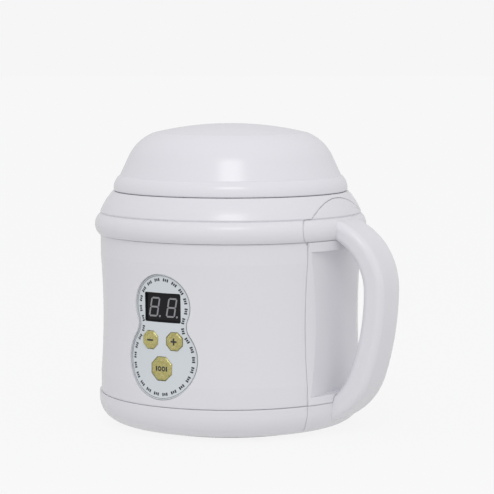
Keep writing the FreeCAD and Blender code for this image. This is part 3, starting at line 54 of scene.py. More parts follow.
camera.location = (
    camera_distance * math.sin(camera_azimuth),
    -camera_distance * math.cos(camera_azimuth),
    camera_height,
)
camera.rotation_euler = (math.pi / 2 - camera_pitch, 0.0, camera_azimuth - camera_turn)
bpy.context.scene.camera = camera
bpy.context.scene.view_settings.view_transform = "Standard"

# ---------------------------------------------------------------- studio
# A white tent: an even glow, stronger from some sides than from others, one softbox high behind the
# camera, and a pale sweep under the object that is clear from below.
BACKDROP = 0.921
TENT_EVEN = 0.68
TENT_LOBES = [
    ("above", 0.0, 90.0, 0.10),
    ("front", 31.5, 15.0, 0.26),
    ("side", 76.0, 40.0, 0.06),
]
TENT_TINT = (0.985, 0.985, 1.0, 1.0)
LOBE_SHARPNESS = 2.0
KEY_RADIANCE = 5.2
AIM_HEIGHT = 0.12
FLOOR_SIZE, FLOOR_DROP = 60.0, 0.0002
FLOOR_GREY = (0.10, 0.10, 0.10, 1.0)
FLOOR_GLOW = 0.60
FLOOR_RETURN = 0.07
world = bpy.data.worlds.new("tent")
world.use_nodes = True
bpy.context.scene.world = world
tree = world.node_tree
tree.nodes.clear()
output = tree.nodes.new("ShaderNodeOutputWorld")
seen = tree.nodes.new("ShaderNodeBackground")
seen.inputs["Color"].default_value = (BACKDROP, BACKDROP, BACKDROP, 1.0)
glow = tree.nodes.new("ShaderNodeBackground")
glow.inputs["Color"].default_value = TENT_TINT
heading = tree.nodes.new("ShaderNodeTexCoord")
strength = None
for name, azimuth, elevation, weight in TENT_LOBES:
    turn, lift = math.radians(azimuth), math.radians(elevation)
    facing = tree.nodes.new("ShaderNodeVectorMath")
    facing.name = "facing_" + name
    facing.operation = "DOT_PRODUCT"
    facing.inputs[1].default_value = (
        math.sin(turn) * math.cos(lift), -math.cos(turn) * math.cos(lift), math.sin(lift))
    tree.links.new(heading.outputs["Generated"], facing.inputs[0])
    kept = tree.nodes.new("ShaderNodeMath")
    kept.operation = "MAXIMUM"
    kept.inputs[1].default_value = 0.0
    tree.links.new(facing.outputs["Value"], kept.inputs[0])
    narrowed = tree.nodes.new("ShaderNodeMath")
    narrowed.operation = "POWER"
    narrowed.inputs[1].default_value = LOBE_SHARPNESS
    tree.links.new(kept.outputs[0], narrowed.inputs[0])
    added = tree.nodes.new("ShaderNodeMath")
    added.operation = "MULTIPLY_ADD"
    added.inputs[1].default_value = weight
    added.inputs[2].default_value = TENT_EVEN
    tree.links.new(narrowed.outputs[0], added.inputs[0])
    if strength is not None:
        tree.links.new(strength, added.inputs[2])
    strength = added.outputs[0]
tree.links.new(strength, glow.inputs["Strength"])
path = tree.nodes.new("ShaderNodeLightPath")
mix = tree.nodes.new("ShaderNodeMixShader")
tree.links.new(path.outputs["Is Camera Ray"], mix.inputs[0])
tree.links.new(glow.outputs[0], mix.inputs[1])
tree.links.new(seen.outputs[0], mix.inputs[2])
tree.links.new(mix.outputs[0], output.inputs[0])


def hang_softbox(name, azimuth, elevation, distance, width, height, radiance):
    """An area lamp that faces the object; azimuth is measured like the camera's."""
    lamp = bpy.data.lights.new(name, "AREA")
    lamp.shape = "RECTANGLE"
    lamp.size = width
    lamp.size_y = height
    lamp.energy = radiance * math.pi * width * height
    holder = bpy.data.objects.new(name, lamp)
    bpy.context.scene.collection.objects.link(holder)
    turn, lift = math.radians(azimuth), math.radians(elevation)
    aim = Vector((0.0, 0.0, AIM_HEIGHT))
    holder.location = aim + distance * Vector(
        (math.sin(turn) * math.cos(lift), -math.cos(turn) * math.cos(lift), math.sin(lift)))
    holder.rotation_euler = (holder.location - aim).to_track_quat("Z", "Y").to_euler()


hang_softbox("softbox_key", azimuth=31.5, elevation=44.0, distance=1.7, width=0.60, height=0.36,
             radiance=KEY_RADIANCE)

bpy.ops.object.select_all(action="DESELECT")
bpy.ops.mesh.primitive_plane_add(size=FLOOR_SIZE, location=(0.0, 0.0, -FLOOR_DROP))
floor = bpy.context.object
floor.name = "floor"
sweep = bpy.data.materials.new("sweep_paper")
sweep.use_nodes = True
tree = sweep.node_tree
shader = tree.nodes["Principled BSDF"]
shader.inputs["Base Color"].default_value = FLOOR_GREY
shader.inputs["Roughness"].default_value = 0.9
shader.inputs["Specular IOR Level"].default_value = 0.0
shader.inputs["Emission Color"].default_value = (1.0, 1.0, 1.0, 1.0)
path = tree.nodes.new("ShaderNodeLightPath")
shine = tree.nodes.new("ShaderNodeMapRange")
shine.inputs["To Min"].default_value = FLOOR_GLOW
shine.inputs["To Max"].default_value = BACKDROP - FLOOR_RETURN
tree.links.new(path.outputs["Is Camera Ray"], shine.inputs["Value"])
tree.links.new(shine.outputs[0], shader.inputs["Emission Strength"])
facing = tree.nodes.new("ShaderNodeNewGeometry")
clear = tree.nodes.new("ShaderNodeBsdfTransparent")
mix = tree.nodes.new("ShaderNodeMixShader")
tree.links.new(facing.outputs["Backfacing"], mix.inputs[0])
tree.links.new(shader.outputs[0], mix.inputs[1])
tree.links.new(clear.outputs[0], mix.inputs[2])
tree.links.new(mix.outputs[0], tree.nodes["Material Output"].inputs[0])
floor.data.materials.append(sweep)

# ---------------------------------------------------------------- base pan
# The injection moulded base tray in white ABS, with vents, screw wells and a groove for its ring foot.
# It closes the housing from below and carries the power board on posts.
BASE_WHITE = (0.81, 0.805, 0.84)
SPREAD_TINT = (1.0, 0.95, 0.95)
SPREAD_REACH = 0.0016
MIX_FIRST, MIX_SECOND, MIX_RESULT = 6, 7, 2
ROUNDED_FROM, WEAR_GAIN = 0.96, 3.0


def new_material(name):
    """A material with its node tree and the shader in it."""
    material = bpy.data.materials.new(name)
    material.use_nodes = True
    return material, material.node_tree, material.node_tree.nodes["Principled BSDF"]


def new_group(name, inputs, outputs):
    """An empty shader node group with float, colour or vector sockets."""
    kinds = {"value": "NodeSocketFloat", "colour": "NodeSocketColor", "vector": "NodeSocketVector"}
    tree = bpy.data.node_groups.new(name, "ShaderNodeTree")
    for socket, kind in inputs:
        tree.interface.new_socket(name=socket, in_out="INPUT", socket_type=kinds[kind])
    for socket, kind in outputs:
        tree.interface.new_socket(name=socket, in_out="OUTPUT", socket_type=kinds[kind])
    return tree, tree.nodes.new("NodeGroupInput"), tree.nodes.new("NodeGroupOutput")


def put(tree, kind, **settings):
    """A new node with its settings."""
    node = tree.nodes.new(kind)
    for name, setting in settings.items():
        setattr(node, name, setting)
    return node


def math_node(tree, operation, first, second=None, clamp=False):
    """The result of a sum on two sockets or numbers."""
    node = put(tree, "ShaderNodeMath", operation=operation, use_clamp=clamp)
    for socket, source in zip(node.inputs, (first, second)):
        if source is None:
            continue
        if isinstance(source, (int, float)):
            socket.default_value = source
        else:
            tree.links.new(source, socket)
    return node.outputs[0]


def weighed(tree, first, first_share, second, second_share):
    """Two sockets added together in given shares."""
    return math_node(tree, "ADD", math_node(tree, "MULTIPLY", first, first_share),
                     math_node(tree, "MULTIPLY", second, second_share))


def scaled(tree, source, factor, offset):
    """A socket stretched by a factor and moved by an offset."""
    return math_node(tree, "ADD", math_node(tree, "MULTIPLY", source, factor), offset)


def object_place(tree):
    """Where a point is on its own piece."""
    return put(tree, "ShaderNodeTexCoord").outputs["Object"]


def noise_of(tree, vector, scale, detail=2.0, rough=0.5):
    """Cloudy noise from 0 to 1."""
    node = put(tree, "ShaderNodeTexNoise")
    node.inputs["Detail"].default_value = detail
    node.inputs["Roughness"].default_value = rough
    if isinstance(scale, (int, float)):
        node.inputs["Scale"].default_value = scale
    else:
        tree.links.new(scale, node.inputs["Scale"])
    tree.links.new(vector, node.inputs["Vector"])
    return node.outputs["Fac"]


def build_moulding_grain():
    """The faint ripple of a polished mould, with finer orange peel on it."""
    tree, enter, leave = new_group(
        "moulding_grain", [("Scale", "value")], [("Height", "value"), ("Smudge", "value")])
    where = object_place(tree)
    broad = noise_of(tree, where, enter.outputs["Scale"], 2.0)
    fine_scale = math_node(tree, "MULTIPLY", enter.outputs["Scale"], 4.0)
    fine = noise_of(tree, where, fine_scale, 3.0)
    tree.links.new(weighed(tree, broad, 0.7, fine, 0.3), leave.inputs["Height"])
    smudge = noise_of(tree, where, 38.0, 5.0, 0.62)
    tree.links.new(smudge, leave.inputs["Smudge"])
    return tree


def build_edge_wear():
    """Softened edges, and a mask of where hands and cloths have rubbed them."""
    tree, enter, leave = new_group(
        "edge_wear", [("Radius", "value"), ("Amount", "value")], [("Mask", "value"), ("Rounded", "vector")])
    bevel = put(tree, "ShaderNodeBevel", samples=4)
    tree.links.new(enter.outputs["Radius"], bevel.inputs["Radius"])
    shape = put(tree, "ShaderNodeNewGeometry")
    dot = put(tree, "ShaderNodeVectorMath", operation="DOT_PRODUCT")
    tree.links.new(bevel.outputs[0], dot.inputs[0])
    tree.links.new(shape.outputs["Normal"], dot.inputs[1])
    turned = math_node(tree, "SUBTRACT", ROUNDED_FROM, dot.outputs["Value"], clamp=True)
    where = object_place(tree)
    patchy = noise_of(tree, where, 140.0, 4.0)
    mask = math_node(tree, "MULTIPLY", math_node(tree, "MULTIPLY", turned, WEAR_GAIN), patchy)
    mask = math_node(tree, "MULTIPLY", mask, enter.outputs["Amount"], clamp=True)
    tree.links.new(mask, leave.inputs["Mask"])
    tree.links.new(bevel.outputs[0], leave.inputs["Rounded"])
    return tree


def build_tone_drift():
    """A slow drift of tone across one moulding, and specks of pigment in it."""
    tree, enter, leave = new_group(
        "tone_drift", [("Colour", "colour"), ("Shade", "colour"), ("Amount", "value")],
        [("Colour", "colour")])
    where = object_place(tree)
    broad = noise_of(tree, where, 14.0, 2.0)
    speck = noise_of(tree, where, 900.0, 2.0)
    share = weighed(tree, broad, 0.7, speck, 0.3)
    share = math_node(tree, "MULTIPLY", share, enter.outputs["Amount"], clamp=True)
    blend = put(tree, "ShaderNodeMix", data_type="RGBA")
    tree.links.new(share, blend.inputs[0])
    tree.links.new(enter.outputs["Colour"], blend.inputs[MIX_FIRST])
    tree.links.new(enter.outputs["Shade"], blend.inputs[MIX_SECOND])
    tree.links.new(blend.outputs[MIX_RESULT], leave.inputs["Colour"])
    return tree


moulding_grain = build_moulding_grain()
edge_wear = build_edge_wear()
tone_drift = build_tone_drift()


def place_group(tree, group, **values):
    """A shared node group put into a material."""
    node = put(tree, "ShaderNodeGroup", node_tree=group)
    for name, setting in values.items():
        node.inputs[name].default_value = setting
    return node


def moulded_plastic(name, colour, roughness, grain=260.0, depth=0.012, drift=0.12, edge=0.00035,
                    wear=0.35, smudge=0.10):
    """An injection moulded thermoplastic with softened edges and a slightly uneven gloss."""
    material, tree, shader = new_material(name)
    shade = tuple(c * 0.93 for c in colour) + (1.0,)
    tone = place_group(tree, tone_drift, Colour=tuple(colour) + (1.0,), Shade=shade, Amount=drift * 4)
    skin = place_group(tree, moulding_grain, Scale=grain)
    rim = place_group(tree, edge_wear, Radius=edge, Amount=wear)
    worn = put(tree, "ShaderNodeMix", data_type="RGBA")
    worn.inputs[MIX_SECOND].default_value = tuple(min(1.0, c * 1.05) for c in colour) + (1.0,)
    tree.links.new(rim.outputs["Mask"], worn.inputs[0])
    tree.links.new(tone.outputs["Colour"], worn.inputs[MIX_FIRST])
    tree.links.new(worn.outputs[MIX_RESULT], shader.inputs["Base Color"])
    uneven = scaled(tree, skin.outputs["Smudge"], smudge, roughness - smudge / 2)
    uneven = math_node(tree, "ADD", uneven, math_node(tree, "MULTIPLY", rim.outputs["Mask"], 0.2))
    tree.links.new(uneven, shader.inputs["Roughness"])
    bump = put(tree, "ShaderNodeBump")
    bump.inputs["Strength"].default_value = 0.5
    bump.inputs["Distance"].default_value = depth * 0.001
    tree.links.new(skin.outputs["Height"], bump.inputs["Height"])
    tree.links.new(rim.outputs["Rounded"], bump.inputs["Normal"])
    tree.links.new(bump.outputs[0], shader.inputs["Normal"])
    return material


def let_light_in(material, weight):
    """White ABS lets a little light travel through it, which lifts its seams and corners."""
    shader = material.node_tree.nodes["Principled BSDF"]
    shader.inputs["Subsurface Weight"].default_value = weight
    shader.inputs["Subsurface Radius"].default_value = SPREAD_TINT
    shader.inputs["Subsurface Scale"].default_value = SPREAD_REACH
    return material


def dress(node, material):
    """Gives a CAD node its finish in every one of its material slots."""
    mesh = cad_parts[node].data
    for index in range(len(mesh.materials)):
        mesh.materials[index] = material


housing_white = let_light_in(moulded_plastic("housing_white", BASE_WHITE, 0.25, edge=0.0006), 0.25)
dress("base_pan", housing_white)

# ---------------------------------------------------------------- ring foot, case screws and rating plate
# The foot is a black elastomer ring glued into the base's groove. Four zinc plated screws close the
# case from below, and a blank silver film label sits between the vents.


def rubber(name, colour, roughness=0.7, grain=900.0):
    """A matt elastomer, handled and dusty along its edges."""
    return moulded_plastic(name, colour, roughness, grain=grain, depth=0.05, drift=0.2, edge=0.0003,
                           wear=0.8, smudge=0.2)


def metal(name, colour, roughness, scratch=(1.0, 1.0, 1.0), scale=400.0, spun=False, depth=0.01):
    """Bare or plated metal with drawn, spun or tumbled fine scratches."""
    material, tree, shader = new_material(name)
    shader.inputs["Metallic"].default_value = 1.0
    where = object_place(tree)
    if spun:
        parts = put(tree, "ShaderNodeSeparateXYZ")
        tree.links.new(where, parts.inputs[0])
        reach = math_node(tree, "SQRT", math_node(
            tree, "ADD", math_node(tree, "MULTIPLY", parts.outputs[0], parts.outputs[0]),
            math_node(tree, "MULTIPLY", parts.outputs[1], parts.outputs[1])))
        polar = put(tree, "ShaderNodeCombineXYZ")
        tree.links.new(math_node(tree, "MULTIPLY", reach, 6.0), polar.inputs[0])
        tree.links.new(math_node(tree, "MULTIPLY", parts.outputs[2], 6.0), polar.inputs[2])
        lines = noise_of(tree, polar.outputs[0], scale, 4.0, 0.6)
    else:
        stretch = put(tree, "ShaderNodeMapping")
        stretch.inputs["Scale"].default_value = scratch
        tree.links.new(where, stretch.inputs["Vector"])
        lines = noise_of(tree, stretch.outputs[0], scale, 4.0, 0.6)
    cloud = noise_of(tree, where, 30.0, 4.0)
    uneven = weighed(tree, lines, 0.16, cloud, 0.12)
    uneven = math_node(tree, "ADD", uneven, roughness - 0.14)
    tree.links.new(uneven, shader.inputs["Roughness"])
    tone = place_group(tree, tone_drift, Colour=tuple(colour) + (1.0,),
                       Shade=tuple(c * 0.8 for c in colour) + (1.0,), Amount=0.5)
    tree.links.new(tone.outputs["Colour"], shader.inputs["Base Color"])
    rim = place_group(tree, edge_wear, Radius=0.00025, Amount=0.3)
    bump = put(tree, "ShaderNodeBump")
    bump.inputs["Strength"].default_value = 0.6
    bump.inputs["Distance"].default_value = depth * 0.001
    tree.links.new(lines, bump.inputs["Height"])
    tree.links.new(rim.outputs["Rounded"], bump.inputs["Normal"])
    tree.links.new(bump.outputs[0], shader.inputs["Normal"])
    return material


dress("rubber_foot", rubber("foot_rubber", (0.035, 0.035, 0.038)))
zinc = metal("zinc_plate", (0.62, 0.63, 0.65), 0.35, scale=700.0)
for screws in ("case_screws", "collar_screws", "handle_screws", "lid_screws", "control_board_screws",
               "power_board_screws", "clamp_screws"):
    dress(screws, zinc)
dress("rating_plate", metal("label_film", (0.60, 0.61, 0.63), 0.42, scratch=(1.0, 30.0, 1.0)))

# ---------------------------------------------------------------- power board
# A single sided phenolic board, screwed to posts that stand in the base pan. It carries a varnished
# transformer, a relay and a capacitor in their cases, and a green terminal block.


def circuit_board(name, mask_colour, trace_colour, upright=False):
    """Solder mask over etched tracks: the tracks stand a hair proud and show a lighter green."""
    material, tree, shader = new_material(name)
    where = object_place(tree)
    tracks = put(tree, "ShaderNodeTexBrick", offset=0.37, squash=1.6, squash_frequency=3)
    tracks.inputs["Scale"].default_value = 90.0
    tracks.inputs["Mortar Size"].default_value = 0.09
    tracks.inputs["Mortar Smooth"].default_value = 0.2
    tracks.inputs["Brick Width"].default_value = 0.9
    tracks.inputs["Row Height"].default_value = 0.32
    turn = put(tree, "ShaderNodeMapping")
    if upright:
        turn.inputs["Rotation"].default_value = (math.pi / 2, 0.0, 0.0)
    tree.links.new(where, turn.inputs["Vector"])
    tree.links.new(turn.outputs[0], tracks.inputs["Vector"])
    blend = put(tree, "ShaderNodeMix", data_type="RGBA")
    blend.inputs[MIX_FIRST].default_value = mask_colour + (1.0,)
    blend.inputs[MIX_SECOND].default_value = trace_colour + (1.0,)
    tree.links.new(tracks.outputs["Fac"], blend.inputs[0])
    tree.links.new(blend.outputs[MIX_RESULT], shader.inputs["Base Color"])
    tree.links.new(scaled(tree, noise_of(tree, where, 60.0, 4.0), 0.2, 0.25), shader.inputs["Roughness"])
    bump = put(tree, "ShaderNodeBump")
    bump.inputs["Distance"].default_value = 0.00004
    tree.links.new(tracks.outputs["Fac"], bump.inputs["Height"])
    tree.links.new(bump.outputs[0], shader.inputs["Normal"])
    return material


dress("power_board", circuit_board("power_board_mask", (0.10, 0.05, 0.02), (0.22, 0.12, 0.05)))
dress("transformer", moulded_plastic("transformer_varnish", (0.05, 0.045, 0.04), 0.45, depth=0.2, drift=0.3))
dress("relay", moulded_plastic("relay_case", (0.03, 0.10, 0.33), 0.3))
dress("capacitor", moulded_plastic("capacitor_sleeve", (0.04, 0.04, 0.09), 0.3))
dress("terminal_block", moulded_plastic("terminal_green", (0.03, 0.28, 0.10), 0.45))

# ---------------------------------------------------------------- appliance inlet
# A black glass-filled nylon inlet with a figure-of-eight socket and two plated pins, held in the back
# of the body.
dress("power_inlet", moulded_plastic("inlet_nylon", (0.022, 0.022, 0.024), 0.5, grain=700.0, depth=0.05))
dress("inlet_pins", metal("pin_plate", (0.74, 0.70, 0.60), 0.28))

# ---------------------------------------------------------------- wiring
# Silicone-covered leads run from the inlet, heater, fuse and sensor to the board, and a flat ribbon
# to the control board.
lead_red = rubber("lead_red", (0.42, 0.03, 0.025), 0.42)
lead_white = rubber("lead_white", (0.72, 0.72, 0.70), 0.42)
dress("heater_leads", lead_red)
dress("inlet_leads", lead_red)
dress("fuse_leads", lead_white)
dress("sensor_leads", lead_white)
dress("panel_ribbon", rubber("ribbon_grey", (0.32, 0.33, 0.35), 0.5))

# ---------------------------------------------------------------- heated well
# A spun aluminium cup hangs from the collar's ledge in a silicone gasket under a retaining ring. A
# PTC heater is strapped under it and a needled felt sleeve keeps its heat in.
dress("heating_well", metal("spun_aluminium", (0.80, 0.80, 0.80), 0.36, spun=True, scale=260.0, depth=0.02))
silicone = rubber("silicone_white", (0.70, 0.70, 0.69), 0.5)
dress("well_gasket", silicone)
dress("retaining_ring", moulded_plastic("ring_white", (0.66, 0.66, 0.67), 0.38, grain=500.0))
dress("ptc_heater", metal("heater_case", (0.66, 0.66, 0.66), 0.4, scratch=(1.0, 40.0, 40.0)))
dress("heater_clamp", metal("clamp_steel", (0.58, 0.58, 0.58), 0.38, scratch=(1.0, 30.0, 1.0)))
dress("thermal_fuse", metal("fuse_case", (0.72, 0.60, 0.34), 0.32))
dress("temperature_sensor", metal("sensor_case", (0.62, 0.62, 0.63), 0.3))


def felt(name, colour):
    """Needled fibre felt: short fibres every way, matt, with a soft nap."""
    material, tree, shader = new_material(name)
    shader.inputs["Sheen Weight"].default_value = 0.3
    where = object_place(tree)
    fibres = put(tree, "ShaderNodeTexVoronoi", feature="DISTANCE_TO_EDGE")
    fibres.inputs["Scale"].default_value = 900.0
    tree.links.new(where, fibres.inputs["Vector"])
    tuft = noise_of(tree, where, 350.0, 6.0, 0.7)
    height = math_node(tree, "ADD", fibres.outputs["Distance"], tuft)
    tone = put(tree, "ShaderNodeValToRGB")
    tone.color_ramp.elements[0].color = tuple(c * 0.7 for c in colour) + (1.0,)
    tone.color_ramp.elements[1].color = colour + (1.0,)
    tree.links.new(tuft, tone.inputs[0])
    tree.links.new(tone.outputs[0], shader.inputs["Base Color"])
    tree.links.new(scaled(tree, tuft, 0.1, 0.85), shader.inputs["Roughness"])
    bump = put(tree, "ShaderNodeBump")
    bump.inputs["Distance"].default_value = 0.0006
    tree.links.new(height, bump.inputs["Height"])
    tree.links.new(bump.outputs[0], shader.inputs["Normal"])
    return material


dress("felt_sleeve", felt("felt_grey", (0.52, 0.50, 0.46)))

# ---------------------------------------------------------------- body, collar and handle panel
# Three white ABS mouldings from one batch: the waisted body, the collar with its belly band, and the
# flat recessed panel that closes the body behind the handle.
dress("body_shell", housing_white)
dress("collar", housing_white)
dress("handle_panel", housing_white)

# ---------------------------------------------------------------- handle
# A hollow white ABS handle, moulded in one with its two pads and held by screws driven from inside the
# housing. A strip of the same plastic covers its finger side.
dress("handle_shell", housing_white)
dress("handle_cover", housing_white)

# ---------------------------------------------------------------- control panel
# A satin pale blue-grey fascia sunk into the body, moulded with a flange that sits behind the body's
# wall. A ring of small dashes is printed round its edge, and a thin dark line inside its rim is painted
# shade standing in for the shadowed gap at the recess wall. Sizes are in metres.
SEAM_HEIGHT = 0.0215
SHELL_HALF = 0.0515
WAIST = 0.0838
SHELL = 0.0865
FASCIA_SINK = 0.0015
FASCIA_LOW = SEAM_HEIGHT + 0.0295
FASCIA_PITCH = 0.0335
TOP_RADIUS, LOW_RADIUS, NECK_RADIUS = 0.0205, 0.0254, 0.010
dress("fascia", moulded_plastic("fascia_film", (0.70, 0.745, 0.775), 0.30, grain=900.0, depth=0.02))
print_ink = moulded_plastic("print_ink", (0.028, 0.031, 0.04), 0.45, grain=1500.0, depth=0.01, drift=0.2)


def fascia_face(across, height):
    """How far forward the fascia's curved face is at a place on it, as a Y."""
    waist_radius = (SHELL_HALF ** 2 + (SHELL - WAIST) ** 2) / (2 * (SHELL - WAIST))
    above = height - SEAM_HEIGHT - SHELL_HALF
    radius = WAIST + waist_radius - math.sqrt(waist_radius ** 2 - above ** 2) - FASCIA_SINK
    return -math.sqrt(radius ** 2 - across ** 2)


def gourd_walk(inset, count):
    """Even steps round the fascia's outline, moved inwards: (across, height, heading) for each."""
    upper, lower, neck = TOP_RADIUS - inset, LOW_RADIUS - inset, NECK_RADIUS + inset
    above, below = TOP_RADIUS + NECK_RADIUS, LOW_RADIUS + NECK_RADIUS
    neck_up = (FASCIA_PITCH ** 2 + below ** 2 - above ** 2) / (2 * FASCIA_PITCH)
    neck_out = math.sqrt(below ** 2 - neck_up ** 2)
    high = math.atan2(neck_up - FASCIA_PITCH, neck_out)
    low = math.atan2(neck_up, neck_out)
    pieces = [
        ((0.0, FASCIA_PITCH), upper, math.pi / 2, high, -1),
        ((neck_out, neck_up), neck, math.pi + high, math.pi + low, 1),
        ((0.0, 0.0), lower, low, -math.pi - low, -1),
        ((-neck_out, neck_up), neck, -low, -high, 1),
        ((0.0, FASCIA_PITCH), upper, math.pi - high, math.pi / 2, -1),
    ]
    lengths = [abs(last - first) * radius for _, radius, first, last, _ in pieces]
    total = sum(lengths)
    walk = []
    for step in range(count):
        along = (step + 0.5) / count * total
        for (centre, radius, first, last, way), length in zip(pieces, lengths):
            if along <= length:
                angle = first + (last - first) * along / length
                walk.append((centre[0] + radius * math.cos(angle),
                             FASCIA_LOW + centre[1] + radius * math.sin(angle),
                             angle + way * math.pi / 2))
                break
            along -= length
    return walk


def keep_piece(piece, name, material, body):
    """Names a finished piece, gives it its finish and lets it ride on its body."""
    piece.name = name
    piece.data.name = name
    piece.data.materials.clear()
    piece.data.materials.append(material)
    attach(piece, body)
    return piece


def joined(pieces):
    """Several new objects made into one."""
    bpy.ops.object.select_all(action="DESELECT")
    for piece in pieces:
        piece.select_set(True)
    bpy.context.view_layer.objects.active = pieces[0]
    bpy.ops.object.join()
    return bpy.context.object


def bar(width, height, thick, corner):
    """A flat printed bar in the XZ plane, about the origin, with its upright corners cut."""
    bpy.ops.object.select_all(action="DESELECT")
    bpy.ops.mesh.primitive_cube_add(size=1.0, scale=(width, thick, height))
    piece = bpy.context.object
    bpy.ops.object.transform_apply(location=True, rotation=True, scale=True)
    bpy.ops.object.mode_set(mode="EDIT")
    bpy.ops.mesh.select_mode(type="EDGE")
    bpy.ops.mesh.select_all(action="DESELECT")
    mesh = bmesh.from_edit_mesh(piece.data)
    for edge in mesh.edges:
        along = edge.verts[0].co - edge.verts[1].co
        edge.select_set(abs(along.y) > abs(along.x) + abs(along.z))
    bmesh.update_edit_mesh(piece.data)
    bpy.ops.mesh.bevel(offset=corner, segments=2, affect="EDGES")
    bpy.ops.object.mode_set(mode="OBJECT")
    return piece


def copy_of(piece, matrix):
    """A separate copy of a piece, moved by a matrix."""
    twin = piece.copy()
    twin.data = piece.data.copy()
    twin.data.transform(matrix)
    bpy.context.scene.collection.objects.link(twin)
    return twin


DASH_COUNT, DASH_INSET, DASH_PITCH = 30, 0.0036, 0.0014
DASH_WIDE, DASH_TALL, DASH_THICK, DASH_CORNER = 0.00098, 0.0020, 0.00006, 0.00025
MIDDLE_DASH_SHARE = 0.8
stroke = bar(DASH_WIDE, DASH_TALL, DASH_THICK, DASH_CORNER)
dashes = []
for across, height, heading in gourd_walk(DASH_INSET, DASH_COUNT):
    for shift, tall in ((-DASH_PITCH, 1.0), (0.0, MIDDLE_DASH_SHARE), (DASH_PITCH, 1.0)):
        turn = Matrix.Rotation(-heading, 4, "Y")
        stretch = Matrix.Diagonal((1.0, 1.0, tall, 1.0))
        dash = copy_of(stroke, Matrix.Translation((across, 0.0, height)) @ turn
                       @ Matrix.Translation((shift, 0.0, 0.0)) @ stretch)
        for vertex in dash.data.vertices:
            vertex.co.y += fascia_face(vertex.co.x, vertex.co.z)
        dashes.append(dash)
bpy.data.objects.remove(stroke)
keep_piece(joined(dashes), "printed_dashes", print_ink, "housing")

# The thin dark line round the fascia's rim is painted shade: dark ink standing in for the shadow of the
# recess wall and gap, not a real print.
BORDER_STEPS, BORDER_INSET, BORDER_WIDE, BORDER_THICK = 240, 0.0010, 0.00021, 0.0001
outside = gourd_walk(BORDER_INSET, BORDER_STEPS)
inside = gourd_walk(BORDER_INSET + BORDER_WIDE, BORDER_STEPS)
bpy.ops.object.select_all(action="DESELECT")
bpy.ops.mesh.primitive_torus_add(major_segments=BORDER_STEPS, minor_segments=4, major_radius=0.02,
                                 minor_radius=0.001)
border = bpy.context.object
bpy.ops.object.transform_apply(location=True, rotation=True, scale=True)
for index, vertex in enumerate(border.data.vertices):
    across, height, _ = (outside, inside, inside, outside)[index % 4][index // 4]
    lift = BORDER_THICK / 2 if index % 4 < 2 else -BORDER_THICK / 2
    vertex.co = Vector((across, fascia_face(across, height) - lift, height))
border.data.update()
bpy.ops.object.mode_set(mode="EDIT")
bpy.ops.mesh.select_all(action="SELECT")
bpy.ops.mesh.normals_make_consistent(inside=False)
bpy.ops.object.mode_set(mode="OBJECT")
keep_piece(border, "painted_gap_shade_line", print_ink, "housing")

# ---------------------------------------------------------------- display
# A two-digit seven-segment module behind the window: black face, grey unlit segments that lean, each
# digit with its point. A black frame lines the window's walls.
display_low, display_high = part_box("display_module")
display_face = display_low.y
display_height = (display_low.z + display_high.z) / 2
display_black = moulded_plastic("display_black", (0.008, 0.008, 0.010), 0.30, grain=600.0, depth=0.01)
display_black.node_tree.nodes["Principled BSDF"].inputs["Specular IOR Level"].default_value = 0.25
dress("display_module", display_black)
segment_grey = moulded_plastic("segment_grey", (0.30, 0.30, 0.32), 0.4, grain=1200.0, depth=0.02, drift=0.3)
DIGIT_TALL, DIGIT_WIDE, STROKE = 0.0125, 0.0068, 0.0011
DIGIT_PITCH, DIGIT_SHIFT = 0.0127, 0.0004
SEGMENT_THICK, SEGMENT_GAP, SEGMENT_TAPER = 0.0002, 0.0004, 0.46
POINT_RADIUS, POINT_SPACE = 0.0007, 0.0021
LEAN = math.tan(math.radians(10.0))


def segment(length, upright):
    """One segment bar with pointed ends."""
    piece = bar(length - SEGMENT_GAP, STROKE, SEGMENT_THICK, STROKE * SEGMENT_TAPER)
    if upright:
        piece.data.transform(Matrix.Rotation(math.pi / 2, 4, "Y"))
    return piece


flat_segment = segment(DIGIT_WIDE - STROKE, False)
tall_segment = segment(DIGIT_TALL / 2 - STROKE / 2, True)
bpy.ops.object.select_all(action="DESELECT")
bpy.ops.mesh.primitive_cylinder_add(vertices=24, radius=POINT_RADIUS, depth=SEGMENT_THICK,
                                    rotation=(math.pi / 2, 0.0, 0.0))
point = bpy.context.object
bpy.ops.object.transform_apply(location=True, rotation=True, scale=True)
segments = []
half_wide, half_tall = (DIGIT_WIDE - STROKE) / 2, (DIGIT_TALL - STROKE) / 2
for digit_centre in (-DIGIT_PITCH / 2, DIGIT_PITCH / 2):
    places = [(flat_segment, 0.0, half_tall), (flat_segment, 0.0, 0.0), (flat_segment, 0.0, -half_tall)]
    places += [(tall_segment, side * half_wide, level * half_tall / 2)
               for side in (-1, 1) for level in (-1, 1)]
    places.append((point, half_wide + POINT_SPACE, -half_tall))
    for shape, across, up in places:
        twin = copy_of(shape, Matrix.Translation((across, 0.0, up)))
        for vertex in twin.data.vertices:
            vertex.co.x += digit_centre - DIGIT_SHIFT + vertex.co.z * LEAN
            vertex.co.y += display_face
            vertex.co.z += display_height
        segments.append(twin)
for shape in (flat_segment, tall_segment, point):
    bpy.data.objects.remove(shape)
keep_piece(joined(segments), "display_segments", segment_grey, "housing")

